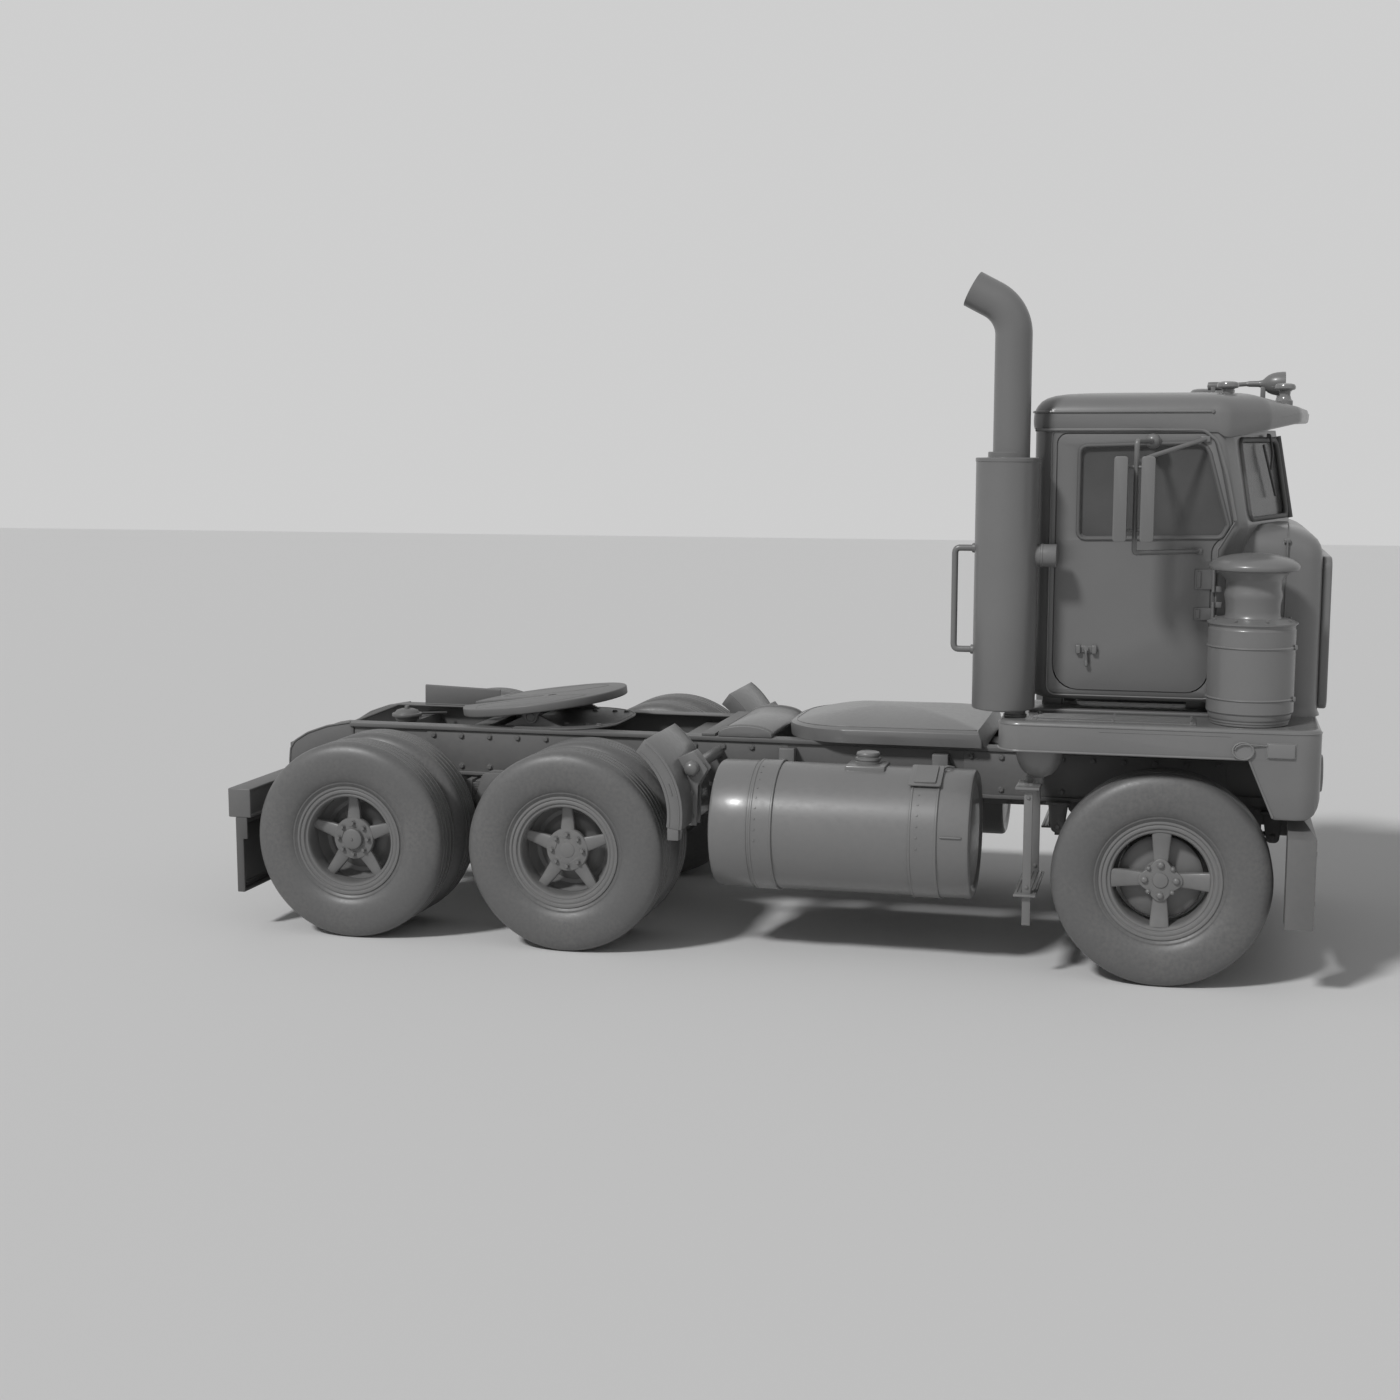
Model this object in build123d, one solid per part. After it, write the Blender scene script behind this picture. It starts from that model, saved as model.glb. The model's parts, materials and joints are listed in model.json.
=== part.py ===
"""Semi truck tractor unit: a short day cab over the front axle, two driven rear axles on twin tyres and a fifth wheel.

Row frame: +X is forward, +Y is the truck's left, +Z is up, in millimetres. The origin is on the ground, in the middle
of the footprint. Every size below is measured from the front axle line, and write() moves the pieces to the origin.
"""

from build123d import *
import math
import os

os.makedirs("parts", exist_ok=True)

# Wheels and tyres
tyre_radius = 520.0
tyre_width = 276.0
tread_width = 204.0
bead_radius = 256.0
rim_flange_radius = 290.0
rim_wall = 22.0
rim_half_width = 100.0
flange_thickness = 10.0
axle_height = tyre_radius
mid_axle_x = -2960.0
tandem_spacing = 1183.0
rear_axle_x = mid_axle_x - tandem_spacing
tandem_x = (mid_axle_x + rear_axle_x) / 2
front_tyre_y = 997.0
outer_dual_y = 1082.0
dual_spacing = 326.0
inner_dual_y = outer_dual_y - dual_spacing
tyre_seat_gap = 2.0
running_gap = 0.1
star_recess_offset = 40.0
tube_radius = 60.0

# Overall reach, both from the front axle line
front_reach = 755.0
rear_overhang = 707.0
rear_reach = rear_overhang - rear_axle_x
origin_shift = (rear_reach - front_reach) / 2

# Front steering
kingpin_y = 900.0
kingpin_radius = 18.0
boss_radius = 40.0
boss_half_height = 60.0
ear_thickness = 34.0
ear_gap = 5.0
spindle_radius = 35.0
arm_length = 170.0
tie_rod_radius = 17.0
steer_gap = 5.0

# Ladder frame
rail_outer_y = 430.0
rail_flange = 85.0
rail_web = 9.0
rail_top = 1030.0
rail_bottom = 762.0
rail_front_x = 562.0
rail_tail_x = -rear_reach + 15.0
rail_slope_x = rail_tail_x + 335.0
rail_tail_drop = 130.0
cross_member_x = [rear_axle_x - 157.0, tandem_x - 278.5, tandem_x + 311.5, mid_axle_x + 400.0, -1850.0]
cross_member_width = 90.0
cross_member_height = 170.0

# Bumper
bumper_rear_x = 570.0
bumper_front_x = 700.0
bumper_half_length = 1200.0
bumper_bottom = 345.0
bumper_top = 775.0
bumper_wall = 8.0

# Fender decks, one each side of the cab
deck_rear_x = -780.0
deck_front_x = 708.0
deck_outer_y = 1200.0
deck_inner_y = 400.0
deck_top = 1280.0
deck_skirt = 146.0
deck_wall = 12.0
deck_corner = 110.0
deck_rounding = 22.0
valance_bottom = 850.0
valance_top_x = 385.0
valance_bottom_x = 500.0
deck_front_corner = 130.0

# Cab
cab_half_width = 860.0
cab_rear_x = -660.0
cab_bottom = 1345.0
cab_wall = 45.0
cab_corner = 100.0
cab_sill_rounding = 60.0
pillar_rounding = 36.0
belt_z = 2190.0
header_z = 2650.0
header_gap = 18.0
cowl_side_x = 300.0
cowl_low_x = 211.0
cowl_nose_x = 318.0
cowl_low_z = 2090.0
pillar_x = 395.0
pillar_y = 735.0
cowl_front_x = 572.0
windshield_rake = 84.0
floor_thickness = 50.0
pane_thickness = 6.0
pane_gap = 4.0

# Doors
door_rear_x = -546.0
door_bottom = 1400.0
door_top = header_z - header_gap
door_hinge_x = 200.0
door_hinge_y = cab_half_width + 14.0
door_gap = 6.0
door_foot_radius = 115.0
hinge_heights = [1945.0, 1780.0]
hinge_barrel_radius = 9.0
hinge_barrel_length = 60.0

# Roof and visor
roof_height = 186.0
roof_top_z = header_z + roof_height
roof_rounding = 80.0
roof_half_width = 868.0
visor_rounding = 120.0
visor_top_z = header_z + 102.0
visor_tip_x = 645.0
visor_corner_x = 235.0
visor_lip_z = header_z + 36.0

# Nose
nose_half_width = 700.0
nose_front_x = 708.0
nose_corner = 110.0
nose_top_z = 2200.0
nose_rounding = 90.0
nose_wall = 20.0
grille_half_width = nose_half_width - 110.0
core_half_width = nose_half_width - 140.0
grille_top = 2045.0
grille_bottom = 1300.0
grille_frame = 45.0
grille_bars = 13
bar_width = 14.0

# Exhaust and intake on the right side
muffler_x = -770.0
muffler_y = -1000.0
muffler_radius = 153.0
muffler_bottom = 1312.0
muffler_top = 2520.0
stack_radius = 88.0
stack_wall = 5.0
stack_bend_z = 3095.0
stack_bend_radius = 190.0
stack_turn = 62.0
stack_tail = 110.0
cleaner_x = 381.0
cleaner_radius = 203.0
cleaner_gap = 82.0
cleaner_y = -nose_half_width - cleaner_gap - cleaner_radius
cleaner_top = 1770.0
cap_radius = 206.0
cap_top = 2085.0

# Fuel tanks, one each side
tank_front_x = -905.0
tank_rear_x = -2215.0
tank_y = 830.0
tank_z = 650.0
tank_radius = 325.0
tank_rim = 22.0
strap_width = 105.0
strap_thickness = 6.0
strap_positions = [-1945.0, -1135.0]

# Fifth wheel
pivot_x = tandem_x + 151.5
pivot_z = 1092.0
plate_front_x = 385.0
plate_rear_x = 475.0
plate_half_width = 465.0
plate_top = 74.0
plate_thickness = 32.0
plate_tilt = 7.5
jaw_radius = 25.5
base_top = 1068.0
base_front_x = pivot_x + 425.0
base_rear_x = pivot_x - 100.0
base_half_width = 440.0
pivot_pin_radius = 25.0
bracket_y = 365.0
bracket_thickness = 30.0
lug_radius = 36.0

# Parts on the frame
cover_rear_x = -2000.0
cover_front_x = -905.0
cover_half_width = 500.0
cover_rear_z = 1120.0
cover_front_z = 1178.0
arch_rear_x = -2335.0
arch_front_x = -2040.0
arch_rise = 48.0
fender_arc_x = mid_axle_x + 160.0
fender_arc_z = 740.0
fender_radius = 470.0
fender_lip = 80.0
fender_skin = 10.0
fender_start = -9.0
fender_end = 54.0
fender_inner_y = 620.0
fender_outer_y = 1200.0
fender_post_x = mid_axle_x + 630.0
rear_bar_depth = 129.0
rear_bar_x = -rear_reach + rear_bar_depth
rear_bar_bottom = 606.0
rear_bar_half = 1150.0
rear_bar_wall = 8.0
flap_x = -rear_reach + 50.0
flap_thickness = 12.0
flap_bottom = 200.0
flap_inner_y = 600.0


def box(x0, x1, y0, y1, z0, z1):
    """A block between two corners, given as low and high values along each axis."""
    centre = ((x0 + x1) / 2, (y0 + y1) / 2, (z0 + z1) / 2)
    return Pos(*centre) * Box(abs(x1 - x0), abs(y1 - y0), abs(z1 - z0))


def rod(start, end, radius):
    """A round bar from one point to another."""
    a, b = Vector(*start), Vector(*end)
    plane = Plane(origin=a, z_dir=(b - a).normalized())
    return extrude(plane * Circle(radius), (b - a).length)


def pipe(points, bend, radius, wall=0.0):
    """A bar or, with a wall, a tube along straight runs joined by arcs."""
    path = FilletPolyline(*points, radius=bend)
    start = Plane(origin=path @ 0, z_dir=path % 0)
    solid = sweep(start * Circle(radius), path=path)
    if wall:
        solid -= sweep(start * Circle(radius - wall), path=path)
    return solid


def side_profile(points, y0, y1):
    """A polygon drawn in side view, X against Z, and pulled along Y from y0 to y1."""
    face = Plane.XZ * make_face(Polyline(*points, close=True))
    return Pos(0, y0, 0) * extrude(face, -(y1 - y0))


def plan_profile(points, z0, z1):
    """A polygon drawn in plan, X against Y, and pulled up from z0 to z1."""
    face = Pos(0, 0, z0) * make_face(Polyline(*points, close=True))
    return extrude(face, z1 - z0)


def turned(profile, x, y, z=axle_height):
    """A solid turned about the wheel axis. The profile's points are (offset along Y, radius)."""
    face = Plane.YZ * make_face(Polyline(*profile, close=True))
    return Pos(x, y, z) * revolve(face, Axis.Y)


def both_sides(shape):
    """The shape and its mirror image across the truck's middle plane."""
    return [shape, mirror(shape, about=Plane.XZ)]


def write(name, *shapes):
    """Moves the pieces from the front axle line to the origin, and writes them as one node."""
    solids = []
    for shape in shapes:
        solids += [s for s in shape.solids()]
    moved = [Pos(origin_shift, 0, 0) * s for s in solids]
    export_step(Compound(children=moved), f"parts/{name}.step")


def spokes(count, hub_r, rim_r, hub_width, rim_width, thickness):
    """A star of tapered spokes about a round middle, lying in the wheel's plane, with its first spoke upward."""
    star = Rot(90, 0, 0) * Cylinder(hub_r, thickness)
    arm = [(-hub_width / 2, 0), (hub_width / 2, 0), (rim_width / 2, rim_r), (-rim_width / 2, rim_r)]
    for k in range(count):
        star += Rot(0, 360 / count * k, 0) * side_profile(arm, -thickness / 2, thickness / 2)
    return star


def wheel_bolts(count, circle, radius, length):
    """Wheel bolts that stand out along Y, the first one at the top."""
    bolts = Pos(0, 0, circle) * Rot(90, 0, 0) * Cylinder(radius, length)
    for k in range(1, count):
        bolts += Rot(0, 360 / count * k, 0) * Pos(0, 0, circle) * Rot(90, 0, 0) * Cylinder(radius, length)
    return bolts


def rim(x, y):
    """The barrel that holds one tyre: two flanges, the bead seats and the open inside."""
    side = rim_half_width + flange_thickness
    bed = bead_radius - running_gap
    inner = bead_radius - rim_wall
    low = rim_half_width + running_gap
    lip = inner + 12
    barrel = [(-side, rim_flange_radius), (-low, rim_flange_radius), (-low, bed), (low, bed)]
    barrel += [(low, rim_flange_radius), (side, rim_flange_radius), (side, lip + 14), (side - 18, lip)]
    barrel += [(side - 40, inner), (-side, inner)]
    if y < 0:
        barrel = [(-a, r) for a, r in barrel]
    return turned(barrel, x, y)


def front_wheel(y, o):
    """A steered wheel: four spokes in front of the hub, a lobed plate with its bolts and a round cap."""
    face = 88.0
    hold = bead_radius - rim_wall + 4
    solid = rim(0, y)
    star = spokes(4, 84, hold, 62, 92, 30)
    solid += Pos(0, y + o * (face - 33), axle_height) * star
    lobes = fillet(RegularPolygon(124, 4, major_radius=True).vertices(), 52)
    lobes = make_face(lobes.wires()[0]) if lobes.wires() else lobes
    plate = extrude(Plane.XZ * lobes, 11, both=True)
    solid += Pos(0, y + o * (face - 11), axle_height) * Rot(0, 0, 0) * plate
    at = Pos(0, y + o * (face + 4), axle_height)
    solid += at * wheel_bolts(4, 74, 18, 18)
    solid += at * Rot(0, 45, 0) * wheel_bolts(4, 78, 12, 14)
    cap = [(o * 0, 0), (o * 0, 82), (o * (face - 12), 82), (o * (face + 8), 38), (o * (face + 8), 0)]
    solid += turned(cap, 0, y)
    hub = [(o * -22, 0), (o * -22, 70), (o * 10, 82), (o * 10, 0)]
    solid += turned(hub, 0, y)
    bore = spindle_radius + running_gap
    hole = [(o * -23, 0), (o * -23, bore), (o * 81.5, bore), (o * 81.5, 0)]
    return solid - turned(hole, 0, y)


def twin_wheels(x, o, cap_radius, cap_depth):
    """Two rims on one hub, with the five-spoked disc deep inside the outer one and the brake drum behind it."""
    outer, inner = o * outer_dual_y, o * inner_dual_y
    face = star_recess_offset
    hold = bead_radius - rim_wall + 4
    solid = rim(x, outer) + rim(x, inner)
    solid += Pos(x, outer + o * (face - 14), axle_height) * spokes(5, 112, hold, 74, 54, 28)
    solid += Pos(x, outer + o * (face + 5), axle_height) * wheel_bolts(8, 84, 13, 20)
    solid += Pos(x, inner + o * 60, axle_height) * spokes(5, 112, hold, 84, 70, 28)
    bore = tube_radius + running_gap
    last = o * (face + cap_depth)
    drum = [(inner - outer + o * 20, 0), (inner - outer + o * 20, 150), (o * -150, 150), (o * -120, 92)]
    drum += [(o * face, 92), (o * face, cap_radius), (last, cap_radius), (last, 0)]
    solid += turned(drum, x, outer)
    hole = [(inner - outer + o * 19, 0), (inner - outer + o * 19, bore), (o * 20, bore), (o * 20, 0)]
    return solid - turned(hole, x, outer)


def tyre(x, y):
    """One tyre with its beads on the rim."""
    w, t = tyre_width / 2, tread_width / 2
    half = [(rim_half_width, bead_radius), (rim_half_width, 296), (w - 10, 330), (w, 390), (w - 8, 455)]
    half += [(t + 12, 503), (t, tyre_radius)]
    other = [(-y0, r) for y0, r in reversed(half)]
    return turned(half + other, x, y)


# Ladder frame: two channel rails and the members between them
tail_low = rail_top - rail_tail_drop
rail_side = [(rail_front_x, rail_bottom), (rail_front_x, rail_top), (rail_slope_x, rail_top)]
rail_side += [(rail_tail_x, tail_low), (rail_tail_x, rail_bottom)]
rail = side_profile(rail_side, rail_outer_y - rail_flange, rail_outer_y)
groove = [(rail_front_x + 1, rail_bottom + rail_web), (rail_front_x + 1, rail_top - rail_web)]
groove += [(rail_slope_x, rail_top - rail_web), (rail_tail_x - 1, tail_low - rail_web)]
groove += [(rail_tail_x - 1, rail_bottom + rail_web)]
rail -= side_profile(groove, rail_outer_y - rail_flange - 1, rail_outer_y - rail_web)
rail_left, rail_right = both_sides(rail)
write("frame_rails", rail_left, rail_right)

web_y = rail_outer_y - rail_web
member_z = (rail_top + rail_bottom) / 2
members = []
for x in cross_member_x:
    half = cross_member_width / 2
    low, high = member_z - cross_member_height / 2, member_z + cross_member_height / 2
    member = box(x - half, x + half, -web_y, web_y, low, high)
    member -= box(x - half - 1, x + half - 10, -web_y + 12, web_y - 12, low + 10, high - 10)
    members.append(member)
write("crossmembers", *members)

# Bumper: a plate with returned edges, on two brackets along the rails
nose_side = [(bumper_rear_x, bumper_bottom), (bumper_front_x, bumper_bottom), (bumper_front_x, bumper_top)]
nose_side += [(bumper_front_x - 62, bumper_top + 68), (bumper_rear_x, bumper_top + 68)]
bumper = side_profile(nose_side, -bumper_half_length, bumper_half_length)
w = bumper_wall
pocket = [(bumper_rear_x - 1, bumper_bottom + w), (bumper_front_x - w, bumper_bottom + w)]
pocket += [(bumper_front_x - w, bumper_top - 3), (bumper_front_x - 65, bumper_top + 68 - w)]
pocket += [(bumper_rear_x - 1, bumper_top + 68 - w)]
bumper -= side_profile(pocket, -bumper_half_length + w, bumper_half_length - w)
for y0 in (rail_outer_y, -rail_outer_y - 16):
    bumper += box(330, bumper_front_x - 4, y0, y0 + 16, 690, 830)
write("bumper", bumper)

# Front axle, springs, kingpin knuckles and tie rod
drop = [(-620, 475), (-kingpin_y, 475), (-kingpin_y, 565), (-600, 565), (-540, 520), (540, 520)]
drop += [(600, 565), (kingpin_y, 565), (kingpin_y, 475), (620, 475), (560, 430), (-560, 430)]
beam = Pos(-40, 0, 0) * extrude(Plane.YZ * make_face(Polyline(*drop, close=True)), 80)
for y in (kingpin_y, -kingpin_y):
    beam += Pos(0, y, axle_height) * Cylinder(boss_radius, 2 * boss_half_height)
for y in (kingpin_y, -kingpin_y):
    beam -= Pos(0, y, axle_height) * Cylinder(kingpin_radius + running_gap, 300)
write("front_axle_beam", beam)

spring = side_profile([(-560, 650), (-560, 622), (0, 560), (560, 622), (560, 650), (0, 632)], 390, 466)
spring += box(-75, 75, 382, 474, 520, 650)
for x in (-545, 545):
    spring += box(x - 28, x + 12, 400, 430, 610, 900)
    spring -= box(x - 29, x + 13, 344, 430, 762, 1000)
for x in (-545, 545):
    spring += box(x - 28, x + 12, 400, 429, 610, 762)
write("front_springs", *both_sides(spring))


def knuckle(side):
    """The steered part of the front axle, drawn on the left and mirrored for the right."""
    top = axle_height + boss_half_height + ear_gap
    low = axle_height - boss_half_height - ear_gap
    y = kingpin_y
    solid = Pos(0, y, axle_height) * Cylinder(kingpin_radius, 2 * (boss_half_height + ear_gap + 10))
    for z in (top, low - ear_thickness):
        solid += Pos(0, y, z + ear_thickness / 2) * Cylinder(boss_radius, ear_thickness)
        solid += box(-boss_radius, boss_radius, y, y + 68, z, z + ear_thickness)
    solid += box(-boss_radius, boss_radius, y + 50, y + 68, low - ear_thickness, top + ear_thickness)
    solid += rod((0, y + 60, axle_height), (0, y + 178, axle_height), spindle_radius)
    solid += box(-arm_length, 0, y - 18, y + 18, low - ear_thickness, low)
    solid += Pos(-arm_length, y, low - ear_thickness / 2) * Cylinder(20, ear_thickness)
    solid += Pos(-arm_length, y, low + 22) * Cylinder(9, 50)
    if side < 0:
        return mirror(solid, about=Plane.XZ)
    return solid


write("knuckle_left", knuckle(1))
write("knuckle_right", knuckle(-1))

rod_z = axle_height - boss_half_height - ear_gap + 23
tie = rod((-arm_length, -kingpin_y + 20, rod_z), (-arm_length, kingpin_y - 20, rod_z), tie_rod_radius)
for y in (kingpin_y, -kingpin_y):
    tie += Pos(-arm_length, y, rod_z) * Cylinder(22, 36)
for y in (kingpin_y, -kingpin_y):
    tie -= Pos(-arm_length, y, rod_z) * Cylinder(9 + running_gap, 60)
write("tie_rod", tie)

# Wheels: single in front, twins on the two driven axles
sides = {"left": 1, "right": -1}
for name, o in sides.items():
    y = o * front_tyre_y
    write(f"tyre_front_{name}", tyre(0, y))
    write(f"wheel_front_{name}", front_wheel(y, o))

axle_names = {"mid": mid_axle_x, "rear": rear_axle_x}
for axle, x in axle_names.items():
    for name, o in sides.items():
        outer, inner = o * outer_dual_y, o * inner_dual_y
        write(f"tyres_{axle}_{name}", tyre(x, outer), tyre(x, inner))
        cap = (58.0, 34.0) if axle == "rear" else (40.0, 6.0)
        write(f"wheels_{axle}_{name}", twin_wheels(x, o, *cap))

# Driven axles, their springs and the shafts
housings = []
for axle, x in axle_names.items():
    end_y = outer_dual_y + 18
    tube = rod((x, -end_y, axle_height), (x, end_y, axle_height), tube_radius)
    tube += Pos(x, 0, axle_height) * Rot(90, 0, 0) * Cylinder(190, 180)
    tube += Pos(x, 0, axle_height) * Rot(0, 90, 0) * Pos(0, 0, 120) * Cylinder(95, 300)
    for o in (1, -1):
        pad_y = o * 505
        tube += box(x - 70, x + 70, pad_y - 40, pad_y + 40, axle_height, axle_height + 80)
    housings.append(tube)
write("drive_axles", *housings)

pack_mid = tandem_x
pack_top = axle_height + 80
pack = [(mid_axle_x + 90, pack_top), (mid_axle_x + 90, pack_top + 34), (pack_mid, pack_top + 120)]
pack += [(rear_axle_x - 90, pack_top + 34), (rear_axle_x - 90, pack_top)]
spring = side_profile(pack, 465, 545)
spring += box(pack_mid - 130, pack_mid + 130, rail_outer_y, 560, pack_top + 60, pack_top + 330)
write("rear_suspension", *both_sides(spring))

# Engine and gearbox as one plain block
engine = box(-560, 480, -330, 330, 640, 1262)
engine += box(-1500, -560, -250, 250, 650, 1010)
for x in (-420, 250):
    engine += box(x - 60, x + 60, -web_y, web_y, rail_top, rail_top + 40)
write("engine_block", engine)

shafts = rod((mid_axle_x + 270, 0, axle_height), (-1500, 0, 760), 50) - engine
shafts += rod((rear_axle_x + 270, 0, axle_height), (mid_axle_x - 190, 0, axle_height), 45)
for housing in housings:
    shafts -= housing
write("drive_shafts", shafts)


def cab_plan(inset, low=False, back=0.0):
    """The cab's outline in plan at the belt, at the foot of the cowl or, moved back, at the header."""
    side_x = cowl_low_x if low else cowl_side_x
    corner = (cowl_nose_x, nose_half_width) if low else (pillar_x, pillar_y)
    half = [(cab_rear_x, cab_half_width), (side_x - back, cab_half_width), (corner[0] - back, corner[1])]
    points = half + [(cowl_front_x - back, 0)] + [(x, -y) for x, y in reversed(half)]
    face = make_face(Polyline(*points, close=True))
    order = face.vertices().sort_by(Axis.X)
    face = fillet(order[2:6], pillar_rounding)
    face = fillet(face.vertices().sort_by(Axis.X)[:2], cab_corner)
    if inset:
        face = offset(face, -inset, kind=Kind.INTERSECTION)
    return face


def cab_volume(inset, bottom=cab_bottom, top=header_z):
    """The space inside the cab's skin, brought inward by the inset."""
    lower = Pos(0, 0, bottom) * extrude(cab_plan(inset, low=True), cowl_low_z - bottom)
    if not inset:
        lower = fillet(lower.edges().group_by(Axis.Z)[0], cab_sill_rounding)
    cowl = loft([Pos(0, 0, cowl_low_z) * cab_plan(inset, low=True), Pos(0, 0, belt_z) * cab_plan(inset)], ruled=True)
    head = Pos(0, 0, header_z) * cab_plan(inset, back=windshield_rake)
    upper = loft([Pos(0, 0, belt_z) * cab_plan(inset), head], ruled=True)
    return lower + cowl + upper


def side_prism(points, radius, y0, y1, foot_radius=None):
    """A polygon in side view, pulled along Y, with rounded corners that may be rounder at its foot."""
    face = make_face(Polyline(*points, close=True))
    if foot_radius:
        foot = face.vertices().sort_by(Axis.Y)[:2]
        others = [Vector(*v) for v in face.vertices().sort_by(Axis.Y)[2:]]
        face = fillet(foot, foot_radius)
        rest = [v for v in face.vertices() if min((Vector(*v) - o).length for o in others) < 0.01]
        face = fillet(rest, radius)
    else:
        face = fillet(face.vertices(), radius)
    return Pos(0, y1, 0) * extrude(Plane.XZ * face, y1 - y0)


# Cab skin, split at the doors, with its windows cut
g = door_gap
low_bend, high_bend = cowl_low_z + 10, belt_z + 10
door_line = [(door_rear_x, door_bottom), (183, door_bottom), (183, low_bend), (276, high_bend)]
door_line += [(220, door_top - 172), (172, door_top), (door_rear_x, door_top)]
frame_line = [(door_rear_x - g, door_bottom - g), (183 + g, door_bottom - g), (183 + g, low_bend - 3)]
frame_line += [(283, high_bend), (227, door_top - 170), (176, door_top + g), (door_rear_x - g, door_top + g)]
window_line = [(-443, belt_z - 60), (215, belt_z - 45), (243, high_bend), (138, door_top - 42)]
window_line += [(-443, door_top - 57)]
shell = cab_volume(0) - cab_volume(cab_wall, bottom=cab_bottom + floor_thickness)
band = cab_volume(20) - cab_volume(20 + pane_thickness)
deep, proud = cab_half_width - 160, cab_half_width + 40
door_prism = side_prism(door_line, 45, deep, proud, door_foot_radius)
door_hole = side_prism(frame_line, 48, deep, proud, door_foot_radius + g)
door_window = side_prism(window_line, 40, deep, proud + 50)
rear_hole = Pos(cab_rear_x, 0, 2320) * Rot(0, 90, 0) * extrude(RectangleRounded(380, 900, 60), 200, both=True)

base_mid, base_out = Vector(cowl_front_x, 0, belt_z), Vector(pillar_x, pillar_y, belt_z)
head_mid = Vector(cowl_front_x - windshield_rake, 0, header_z)
along = (base_out - base_mid).normalized()
rise = (head_mid - base_mid).normalized()
normal = along.cross(rise).normalized()
glass_plane = Plane(origin=base_mid, x_dir=along, z_dir=normal)
pane_height = (head_mid - base_mid).length
screen = [(48, 34), (700, 34), (676, pane_height - 46), (34, pane_height - 46)]
screen_face = fillet(make_face(Polyline(*screen, close=True)).vertices(), 45)
screen_hole = extrude(glass_plane * screen_face, 140, both=True)
screens = [screen_hole, mirror(screen_hole, about=Plane.XZ)]

door_left = (shell & door_prism) - door_window
glass_left = band & door_window & door_prism
barrels_door, barrels_cab = [], []
for z in hinge_heights:
    mid = Pos(door_hinge_x, door_hinge_y, z) * Cylinder(hinge_barrel_radius, hinge_barrel_length)
    mid += box(120, door_hinge_x, 860, 868, z - hinge_barrel_length / 2, z + hinge_barrel_length / 2)
    barrels_door.append(mid)
    for step in (-1, 1):
        centre = z + step * (hinge_barrel_length / 2 + 15 + running_gap)
        end = Pos(door_hinge_x, door_hinge_y, centre) * Cylinder(hinge_barrel_radius, 30)
        end += box(192, 209, 858, 872, centre - 15, centre + 15)
        barrels_cab.append(end)
for piece in barrels_door:
    door_left += piece
write("door_left", door_left)
write("door_right", mirror(door_left, about=Plane.XZ))
write("door_glass_left", glass_left)
write("door_glass_right", mirror(glass_left, about=Plane.XZ))
write("cab_glass", band & screens[0], band & screens[1], band & rear_hole)

cab = shell - door_hole - mirror(door_hole, about=Plane.XZ) - rear_hole - screens[0] - screens[1]
for piece in barrels_cab:
    cab += piece
    cab += mirror(piece, about=Plane.XZ)
for o in (1, -1):
    y0, y1 = sorted((o * 560, o * 720))
    cab += box(-600, 190, y0, y1, deck_top, cab_bottom + 10)
write("cab_shell", cab)

# Roof with its visor
roof_half = [(cab_rear_x - 8, roof_half_width), (visor_corner_x, roof_half_width), (430, 690), (595, 330)]
roof_points = roof_half + [(visor_tip_x, 0)] + [(x, -y) for x, y in reversed(roof_half)]
roof_face = make_face(Polyline(*roof_points, close=True))
ends = roof_face.vertices().sort_by(Axis.X)
roof_face = fillet(ends[2:], visor_rounding)
roof_face = fillet(roof_face.vertices().sort_by(Axis.X)[:2], cab_corner + 8)
roof = Pos(0, 0, header_z) * extrude(roof_face, roof_top_z - header_z)
roof = fillet(roof.edges().group_by(Axis.Z)[-1], roof_rounding)
roof -= side_profile([(visor_corner_x + 60, roof_top_z + 1), (visor_tip_x + 5, roof_top_z + 1),
                      (visor_tip_x + 5, visor_top_z)], -900, 900)
roof -= Pos(0, 0, header_z - 1) * extrude(cab_plan(cab_wall, back=windshield_rake), 110)
roof -= side_profile([(520, header_z - 1), (700, header_z - 1), (700, visor_lip_z)], -900, 900)
write("cab_roof", roof)

# Nose, grille and radiator
nose_face = make_face(Polyline((250, nose_half_width), (nose_front_x, nose_half_width),
                               (nose_front_x, -nose_half_width), (250, -nose_half_width), close=True))
nose_face = fillet(nose_face.vertices().sort_by(Axis.X)[2:], nose_corner)
nose = Pos(0, 0, deck_top) * extrude(nose_face, nose_top_z - deck_top)
nose = fillet(nose.edges().group_by(Axis.Z)[-1], nose_rounding)
inner = Pos(0, 0, deck_top - 1) * extrude(offset(nose_face, -nose_wall - 12), nose_top_z - 60 - deck_top)
nose -= inner
nose -= cab_volume(-3, bottom=1200)
nose -= box(600, 760, -grille_half_width + 60, grille_half_width - 60, grille_bottom + 60, grille_top - 60)
write("nose_shell", nose)

gw, gf = grille_half_width, grille_frame
grille = box(nose_front_x, front_reach, -gw, gw, grille_bottom, grille_top)
grille -= box(nose_front_x - 1, front_reach + 1, -gw + gf, gw - gf, grille_bottom + gf, grille_top - gf)
for k in range(grille_bars):
    y = -gw + gf + (k + 1) * 2 * (gw - gf) / (grille_bars + 1)
    grille += box(nose_front_x + 6, nose_front_x + 30, y - bar_width / 2, y + bar_width / 2,
                  grille_bottom + gf - 2, grille_top - gf + 2)
write("radiator_grille", grille)
core_y = core_half_width
write("radiator_core", box(600, 655, -core_y, core_y, deck_top, grille_top - 65))

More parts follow.
